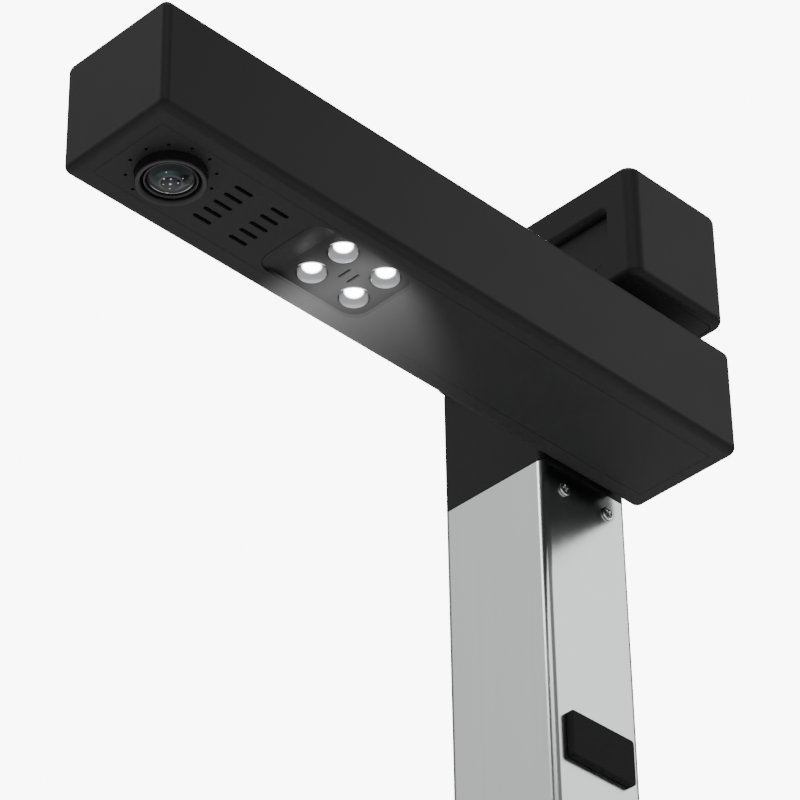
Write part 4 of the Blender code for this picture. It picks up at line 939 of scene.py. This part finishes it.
settle(make_front_glass(), GLASS, "coated_glass", "lens_glass", corner=50.0)

# %% [markdown]
# ## The lamp panel
# The four lamps lie in a shallow tray.  Its front third is a smooth ramp that runs from the underside
# down to the tray's floor, so that the camera sees no hard step.  The ramp is a loft of thin slices:
# each slice is as wide as the rounded tray is there, and its height follows a smooth step.

# %% Lamp tray with its ramp
LAMP_RAMP = 0.0140
LAMP_PLATE = 0.0020
LED_CHAMFER = 0.0009
SLIT_LENGTH = 0.0080
SLIT_WIDTH = 0.0015
SLIT_SPACING = 0.0051
RAMP_SLICES = 28

tray_floor = UNDERSIDE + COVER_THICKNESS + GAP
led_places = [extent(name)[2] for name in LED_NODES]
leds_middle = sum(led_places, Vector()) / len(led_places)


def tray_half_width(y, front, half):
    """Half the tray's width at a place along it, where the round corners narrow it."""
    reach = y - front
    if reach >= LAMP_RADIUS:
        return half
    return half - LAMP_RADIUS + math.sqrt(max(0.0, LAMP_RADIUS ** 2 - (LAMP_RADIUS - reach) ** 2))


def make_ramp():
    front = LAMPS.y - LAMP_LENGTH / 2 + GAP
    half = LAMP_WIDTH / 2 - GAP / 3
    top = tray_floor + LAMP_PLATE / 2
    slices = []
    for k in range(RAMP_SLICES + 1):
        share = (k / RAMP_SLICES) ** 1.5
        y = front + LAMP_RAMP * share
        wide = max(0.0012, tray_half_width(y, front, half))
        low = UNDERSIDE + 0.0001 + (tray_floor - UNDERSIDE) * share * share * (3 - 2 * share)
        slices.append([(LAMPS.x - wide, y, low), (LAMPS.x + wide, y, low), (LAMPS.x + wide, y, top),
                       (LAMPS.x - wide, y, top)])
    return loft(slices)


def make_tray():
    size = panel_high - panel_low
    plate = outline(LAMPS.x, LAMPS.y, size.x, size.y, LAMP_RADIUS, 8)
    tray = new_object("lamp_tray", prism("z", plate, tray_floor, tray_floor + LAMP_PLATE))
    carve(tray, new_object("block", make_ramp()), operation="UNION")
    low, high = UNDERSIDE - PAST, tray_floor + LAMP_PLATE + PAST
    hole = LED_RADIUS + GAP
    wide = hole + LED_CHAMFER
    cone = [(0.0, low), (wide, low), (wide, tray_floor), (hole, tray_floor + LED_CHAMFER), (hole, high),
            (0.0, high)]
    holes = scatter("block", new_object("cone", lathe(cone, 72)), [(p.x, p.y, 0.0) for p in led_places])
    rows = [(leds_middle.x, leds_middle.y + side * SLIT_SPACING / 2, low) for side in (-1, 1)]
    slits = punches(rows, SLIT_LENGTH, SLIT_WIDTH, high - low, 8)
    return carve(tray, holes, slits)


settle(make_tray(), TRAY_BEAM_LIT, "black_plastic", "lamp_panel", corner=28.0)

# %% Lamp domes
LED_BULGE = 0.0016
DOME_STEPS = 14


def make_domes():
    """One dome, copied to the four lamp places with its own coordinates."""
    led_low, led_high, _ = extent(LED_NODES[0])
    collar = (led_high - led_low).z - LED_BULGE - LAMP_PLATE
    angles = [math.radians(90 * k / DOME_STEPS) for k in range(DOME_STEPS + 1)]
    profile = [(LED_RADIUS * math.sin(a), -LED_BULGE * math.cos(a)) for a in angles]
    profile += [(LED_RADIUS, LAMP_PLATE), (LED_RADIUS * 0.6, LAMP_PLATE + collar), (0.0, LAMP_PLATE + collar)]
    part = new_object("dome", lathe(profile, 72))
    return scatter("lamp_domes", part, [(p.x, p.y, tray_floor) for p in led_places], finish=LAMP)


settle(make_domes(), LAMP, "led_lens", *LED_NODES, corner=50.0)

# %% [markdown]
# ## The mast
# The mast is a square tube with rounded corners, which catch a long thin highlight.  It is capped by a
# moulded black neck of the same outline that carries the display head.

# %% Mast tube and neck
MAST_RADIUS = 0.0041
MAST_WALL = 0.0020
SOCKET_LENGTH = 0.0364
SOCKET_HEIGHT = 0.0190
SOCKET_RADIUS = 0.0020
SCREW_RADIUS = 0.0015
MAST_SCREWS = [f"mast_screw_{side}_{k}" for side in ("left", "right") for k in (1, 2)]

mast_low, mast_high, MAST = extent("mast_tube")
neck_low, neck_high, _ = extent("mast_neck")
cap_low, cap_high, CAP = extent("socket_cap")


def mast_outline(inset=0.0, steps=12):
    size = mast_high - mast_low
    return outline(MAST.x, MAST.y, size.x - 2 * inset, size.y - 2 * inset, MAST_RADIUS - inset, steps)


def make_mast():
    tube = new_object("mast", prism("z", mast_outline(), mast_low.z, mast_high.z))
    mouth = outline(CAP.y, CAP.z, SOCKET_LENGTH, SOCKET_HEIGHT, SOCKET_RADIUS, 6)
    cuts = [block("z", mast_outline(MAST_WALL), mast_low.z - PAST, mast_high.z + PAST),
            block("x", mouth, mast_high.x - MAST_WALL - PAST, mast_high.x + PAST)]
    reach = MAST_WALL / 2 + PAST
    for name in MAST_SCREWS:
        place = extent(name)[2]
        place.x = mast_high.x - MAST_WALL / 2 if place.x > MAST.x else mast_low.x + MAST_WALL / 2
        cuts.append(bore(SCREW_RADIUS + GAP, -reach, reach, 32, "x", place))
    return carve(tube, *cuts)


def make_neck():
    low = mast_high.z + GAP
    neck = new_object("neck", prism("z", mast_outline(), low, neck_high.z))
    spigot = block("z", mast_outline(MAST_WALL + GAP, 6), neck_low.z, low + PAST)
    return carve(neck, spigot, operation="UNION")


settle(make_mast(), SILVER, "anodised_aluminium", "mast_tube", edge=0.00015, corner=50.0)
settle(make_neck(), BLACK, "black_plastic", "mast_neck", edge=0.0002, corner=50.0)

# %% [markdown]
# The screws are pan heads with a cross recess.  One screw is turned and cut, and the scatter recipe
# places it at every fixing and spins each copy by its own angle.

# %% Cross-recess screws
SCREW_HEAD_RADIUS = 0.0034
SCREW_HEAD_HEIGHT = 0.0009
SCREW_SET_BACK = 0.0007
BASE_SCREWS = [f"base_screw_{k}" for k in (1, 2, 3, 4)]


def make_screw(length):
    """A screw along +Z whose head's top is at the origin."""
    h, r, s = SCREW_HEAD_HEIGHT, SCREW_HEAD_RADIUS, SCREW_RADIUS
    crown = [(r, -0.00040), (r - 0.00012, -0.00016), (r - 0.00034, -0.00004)]
    profile = [(0.0, -h - length), (s, -h - length), (s, -h), (r, -h)] + crown + [(0.0, 0.0)]
    screw = new_object("screw", lathe(profile, 48))
    arm, bar, depth = r * 0.62, r * 0.16, h * 0.62
    points = [(-bar, -arm), (bar, -arm), (bar, -bar), (arm, -bar), (arm, bar), (bar, bar), (bar, arm),
              (-bar, arm), (-bar, bar), (-arm, bar), (-arm, -bar), (-bar, -bar)]
    taper = [[(u * k, v * k, w) for u, v in points] for k, w in ((0.75, -depth), (1.15, PAST))]
    return carve(screw, new_object("block", loft(taper)))


def place_screws(name, nodes, index, length):
    """Screws at the solids that they stand for, facing outwards along an axis: 0 is x, 2 is z."""
    places, aims = [], []
    for node in nodes:
        low, high, place = extent(node)
        outward = 1 if index == 0 and place.x > MAST.x else -1
        place[index] = (high if outward > 0 else low)[index] - outward * SCREW_SET_BACK
        places.append(place)
        aims.append([outward * (k == index) for k in range(3)])
    item = scatter(name, make_screw(length), places, aims, spin=math.pi, seed=5, finish=BRIGHT)
    settle(item, BRIGHT, "bright_screw", *nodes, edge=0.00008, corner=40.0)


place_screws("mast_screws", MAST_SCREWS, 0, 0.005)
place_screws("base_screws", BASE_SCREWS, 2, 0.010)

# %% [markdown]
# A rubber cap closes the side lamp's socket.  It is a soft moulding with well-rounded edges and a plug
# that fits the socket, and it rides on its own body.

# %% Socket cap
CAP_RADIUS = 0.0018
CAP_EDGE = 0.0008
CAP_THICKNESS = 0.0034
PLUG_WALL = 0.001              # the socket's wall, inside which the plug fits


def make_cap():
    face, size = cap_high.x - CAP_THICKNESS, cap_high - cap_low
    body = prism("x", outline(CAP.y, CAP.z, size.y, size.z, CAP_RADIUS, 8), face, cap_high.x)
    round_over(body, "x", (cap_high.x,), CAP_EDGE, 5)
    cap = new_object("socket_cap_rubber", body)
    less = 2 * (PLUG_WALL + GAP)
    plug = outline(CAP.y, CAP.z, SOCKET_LENGTH - less, SOCKET_HEIGHT - less, SOCKET_RADIUS - GAP, 6)
    return carve(cap, block("x", plug, cap_low.x, face + PAST), operation="UNION")


settle(make_cap(), RUBBER, "black_rubber", "socket_cap", body="socket_cap")

# %% [markdown]
# ## The display head
# The head is a rounded box whose front carries a window that leans back.  The window's upper lip is a
# soft fillet that fades to nothing at the bottom, where the window meets the face, so the pocket is a
# loft whose loops open out more the deeper the pocket is at that height.

# %% Head housing
HEAD_RADIUS = 0.0070
HEAD_EDGE_RADIUS = 0.0040
HEAD_WALL = 0.0024
HEAD_FRONT_WALL = 0.0080
HEAD_FLOOR_RADIUS = 0.0040
WINDOW_MARGIN = 0.0161
WINDOW_HEIGHT = 0.0318
WINDOW_BOTTOM = 0.0123
WINDOW_TOP_DEPTH = 0.0042
WINDOW_RADIUS = 0.0040
WINDOW_LOW_RADIUS = 0.0090
GLASS_THICKNESS = 0.0012
LIP_RADIUS = 0.0046
LIP_STEPS = 8
LIP_PAST = 0.00002             # the lip's last loop stands proud of the face by this, so it cuts cleanly

head_low, head_high, HEAD = extent("head_shell")
WINDOW_LOW = head_low.z + WINDOW_BOTTOM
LEAN = math.atan(WINDOW_TOP_DEPTH / WINDOW_HEIGHT)


def window_outline(inset=0.0, steps=10):
    width = head_high.x - head_low.x - 2 * WINDOW_MARGIN - 2 * inset
    return outline(HEAD.x, WINDOW_LOW + WINDOW_HEIGHT / 2, width, WINDOW_HEIGHT - 2 * inset,
                   WINDOW_RADIUS - inset, steps, WINDOW_LOW_RADIUS - inset)


def leaned(x, z, depth):
    """A point of the window, tilted back about its lower front edge, at a depth behind its face."""
    point = Vector((x, depth, z - WINDOW_LOW))
    return Matrix.Rotation(-LEAN, 3, "X") @ point + Vector((0.0, head_low.y, WINDOW_LOW))


def make_pocket():
    """Window pocket with a filleted lip that grows with the pocket's depth."""
    flat = window_outline()
    outward = []
    for before, after in zip(flat[-1:] + flat[:-1], flat[1:] + flat[:1]):
        along = (Vector(after) - Vector(before)).normalized()
        outward.append(Vector((along.y, -along.x)))
    loops = [[leaned(u, v, GLASS_THICKNESS + GAP) for u, v in flat]]
    for j in range(LIP_STEPS + 1):
        bend = math.radians(90 * j / LIP_STEPS)
        loop = []
        for (u, v), out in zip(flat, outward):
            base = leaned(u, v, 0.0)
            lip = min(LIP_RADIUS, max(0.0, base.y - head_low.y) * 0.8) * (0.35 + 0.65 * max(0.0, out.y))
            wide = lip * (1 - math.cos(bend))
            inward = lip * (1 - math.sin(bend)) - LIP_PAST * (j == LIP_STEPS)
            loop.append(Vector((base.x + out.x * wide, head_low.y + inward, base.z + out.y * wide)))
        loops.append(loop)
    loops.append([point + Vector((0.0, -0.004, 0.0)) for point in loops[-1]])
    return loft(loops)


def make_head():
    size = head_high - head_low
    body = prism("z", outline(HEAD.x, HEAD.y, size.x, size.y, HEAD_RADIUS, 12), head_low.z, head_high.z)
    round_over(body, "z", (head_low.z, head_high.z), HEAD_EDGE_RADIUS, 10)
    head = new_object("head_housing", body)
    front, rear = head_low.y + HEAD_FRONT_WALL, head_high.y - HEAD_WALL
    inside = outline(HEAD.x, (front + rear) / 2, size.x - 2 * HEAD_WALL, rear - front,
                     HEAD_RADIUS - HEAD_WALL, 4)
    floor_low, floor_high, floor = extent("head_floor")
    hatch = outline(floor.x, floor.y, floor_high.x - floor_low.x + 2 * GAP,
                    floor_high.y - floor_low.y + 2 * GAP, HEAD_FLOOR_RADIUS, 6)
    carve(head, block("z", inside, head_low.z + HEAD_EDGE_RADIUS, head_high.z - HEAD_WALL))
    carve(head, block("z", hatch, head_low.z - PAST, head_low.z + HEAD_EDGE_RADIUS + PAST))
    return carve(head, new_object("block", make_pocket()))


settle(make_head(), BLACK, "black_plastic", "head_shell", corner=32.0)

# %% Display window
def make_window():
    flat = window_outline(GAP)
    return new_object("display_window", loft([[leaned(u, v, depth) for u, v in flat]
                                              for depth in (0.0, GLASS_THICKNESS)]))


settle(make_window(), DISPLAY, "gloss_black", "display_glass", edge=0.00025, corner=50.0)

# %% [markdown]
# ## The base and the smaller parts
# What is left has the right shape already, but its triangles are loose, so its curved walls would look
# faceted.  A copy whose points are merged and whose flat areas are rejoined can be shaded smooth and
# can take a hair-thin bevel that catches the light along its edges.

# %% Refine the remaining parts
SMALL = {                      # finish, slot and width of the fine bevel
    "base_shell": (BLACK, "black_plastic", 0.00025),
    "control_panel": (GLOSS, "gloss_black", 0.0002),
    "base_plate": (PAINTED, "painted_steel", 0.00015),
    "head_floor": (BLACK, "black_plastic", 0.00015),
    "arm_mount": (BLACK, "black_plastic", 0.0003),
    "side_lamp_socket": (BLACK, "black_plastic", 0.00015),
    **{f"foot_{k}": (RUBBER, "black_rubber", 0.0002) for k in (1, 2, 3, 4)},
    "dc_jack": (BLACK, "black_plastic", 0.0001),
    "usb_port": (TIN, "zinc_plate", 0.0001),
    "hdmi_port": (TIN, "zinc_plate", 0.0001),
    "mast_foot": (ZINC, "zinc_plate", 0.0003),
    "ballast_plate": (ZINC, "zinc_plate", 0.0004),
    "arm_rail": (ZINC, "zinc_plate", 0.0002),
    **{f"arm_bolt_{k}": (BRIGHT, "bright_screw", 0.0002) for k in (1, 2)},
}


def refine(node, finish, slot, edge, body=SCANNER):
    bm = bmesh.new()
    bm.from_mesh(NODES[node].data)
    bmesh.ops.remove_doubles(bm, verts=bm.verts, dist=0.000002)
    bmesh.ops.dissolve_limit(bm, angle_limit=math.radians(0.5), verts=bm.verts, edges=bm.edges)
    settle(new_object(node + "_fine", bm), finish, slot, node, edge=edge, corner=40.0, body=body)


for node, (finish, slot, edge) in SMALL.items():
    refine(node, finish, slot, edge)
print("refined:", len(SMALL), "parts")

# %% [markdown]
# The three keys are satin and each has a raised mark of its own: a ring and bar for power, a page frame
# for scanning and a small sun for the lamps.  The marks ride on the keys, so they go down with them.

# %% Push buttons
MARK_FROM, MARK_TO = -0.00045, -0.00015    # bottom and top of a mark, from the key's top
MARK_FINISH = moulded("key_marks", (0.42, 0.43, 0.44), 0.45, grain=0.0004)


def mark_bars(name):
    """Outlines of a key's mark, about the key's middle."""
    if name == "power_button":
        arc = [math.radians(a) for a in range(-230, 51, 10)]
        ring = [(r * math.cos(a), r * math.sin(a)) for r, turns in ((0.0021, arc), (0.0016, arc[::-1]))
                for a in turns]
        return [ring, outline(0.0, 0.0019, 0.0005, 0.0019, 0.0002, 3)]
    if name == "lamp_button":
        ray = outline(0.0020, 0.0, 0.0009, 0.0004, 0.00015, 3)
        turns = [math.radians(45 * k) for k in range(8)]
        rays = [[(math.cos(t) * u - math.sin(t) * v, math.sin(t) * u + math.cos(t) * v) for u, v in ray]
                for t in turns]
        return rays + [outline(0.0, 0.0, 0.0018, 0.0018, 0.00089, 8)]
    corner = [(0.0036, 0.0044), (0.0014, 0.0044), (0.0014, 0.0037), (0.0029, 0.0037), (0.0029, 0.0020),
              (0.0036, 0.0020)]
    corners = [[(su * u, sv * v) for u, v in corner][::su * sv] for su in (-1, 1) for sv in (-1, 1)]
    return corners + [outline(0.0, 0.0, 0.0046, 0.0006, 0.00025, 3)]


def make_marks(name):
    _, high, here = extent(name)
    merged = bmesh.new()
    for bar in mark_bars(name):
        piece = prism("z", [(here.x + u, here.y + v) for u, v in bar], high.z + MARK_FROM, high.z + MARK_TO)
        scratch = bpy.data.meshes.new("scratch")
        piece.to_mesh(scratch)
        merged.from_mesh(scratch)
        bpy.data.meshes.remove(scratch)
        piece.free()
    settle(new_object(name + "_mark", merged), MARK_FINISH, "button_plastic", body=name)


for key in ("scan_button", "power_button", "lamp_button"):
    refine(key, KEYS, "button_plastic", 0.0002, body=key)
    make_marks(key)

# %% [markdown]
# The hidden parts keep their own meshes and only get their finishes, because nothing is seen of them
# but a glint through the vents.

# %% Finishes of the hidden parts
HIDDEN = {
    BOARD: ("button_board", "camera_board", "display_board", "led_board", "main_board"),
    GLOSS: ("display_module", "image_sensor", "line_laser_1", "line_laser_2"),
    GLASS: ("lens_inner",),
    RUBBER: ("cable_harness",),
}
for finish, names in HIDDEN.items():
    for name in names:
        NODES[name].data.materials.clear()
        NODES[name].data.materials.append(finish.material)
hidden = {name for names in HIDDEN.values() for name in names}
print("hidden parts finished:", len(hidden), "left plain:", sorted(set(NODES) - STOOD_FOR - hidden))

# %% [markdown]
# ## The table
# A pale, faintly glowing sheet under the feet, like a light table.  It is clear from below, so that it
# never stands between a low viewpoint and the scanner, and it fades away with distance, so that no edge
# of it cuts across the background.

# %% Table top
TABLE_REACH = (0.55, 1.50)     # where the table starts to fade and where it is gone
TABLE_GLOW = 0.12


def make_table():
    edge = TABLE_REACH[1] + 0.1
    bm = bmesh.new()
    bm.faces.new([bm.verts.new((x * edge, y * edge, 0.0)) for x, y in ((-1, -1), (1, -1), (1, 1), (-1, 1))])
    table = new_object("table", bm)
    paint = Finish("table_top", Roughness=0.7, Emission_Strength=TABLE_GLOW)
    here = paint.place()
    tone = paint.noise(here, 0.4, 3.0)
    paint.feed("Base Color", paint.blend(tone, (0.82, 0.82, 0.82), (0.86, 0.86, 0.86)))
    paint.feed("Emission Color", paint.blend(tone, (0.98, 0.98, 0.98), (1.0, 1.0, 1.0)))
    x, y = here.part("x"), here.part("y")
    away = ((x * x + y * y) ** 0.5).step(*TABLE_REACH)
    side = paint.node("NewGeometry", {}, {}, "Backfacing")
    hidden = 1.0 - (1.0 - side) * (1.0 - away)
    clear = paint.node("BsdfTransparent", {}, {})
    mix = paint.node("MixShader", {}, {0: hidden, 1: Value(paint, paint.shader.outputs[0]), 2: clear})
    paint.tree.links.new(mix.socket, paint.tree.nodes["Material Output"].inputs["Surface"])
    table.data.materials.append(paint.material)
    table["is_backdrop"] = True
    return table


print("table:", make_table().name)

# %% [markdown]
# ## Sizes
# The scanner's box is taken before and after the looks are added, and how much it grew is printed.

# %% Print how much the box grew
NOW_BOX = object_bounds()
grown = (NOW_BOX[1] - NOW_BOX[0]) - (CAD_BOX[1] - CAD_BOX[0])
print("box grew by", [round(side * 1000, 2) for side in grown], "mm")
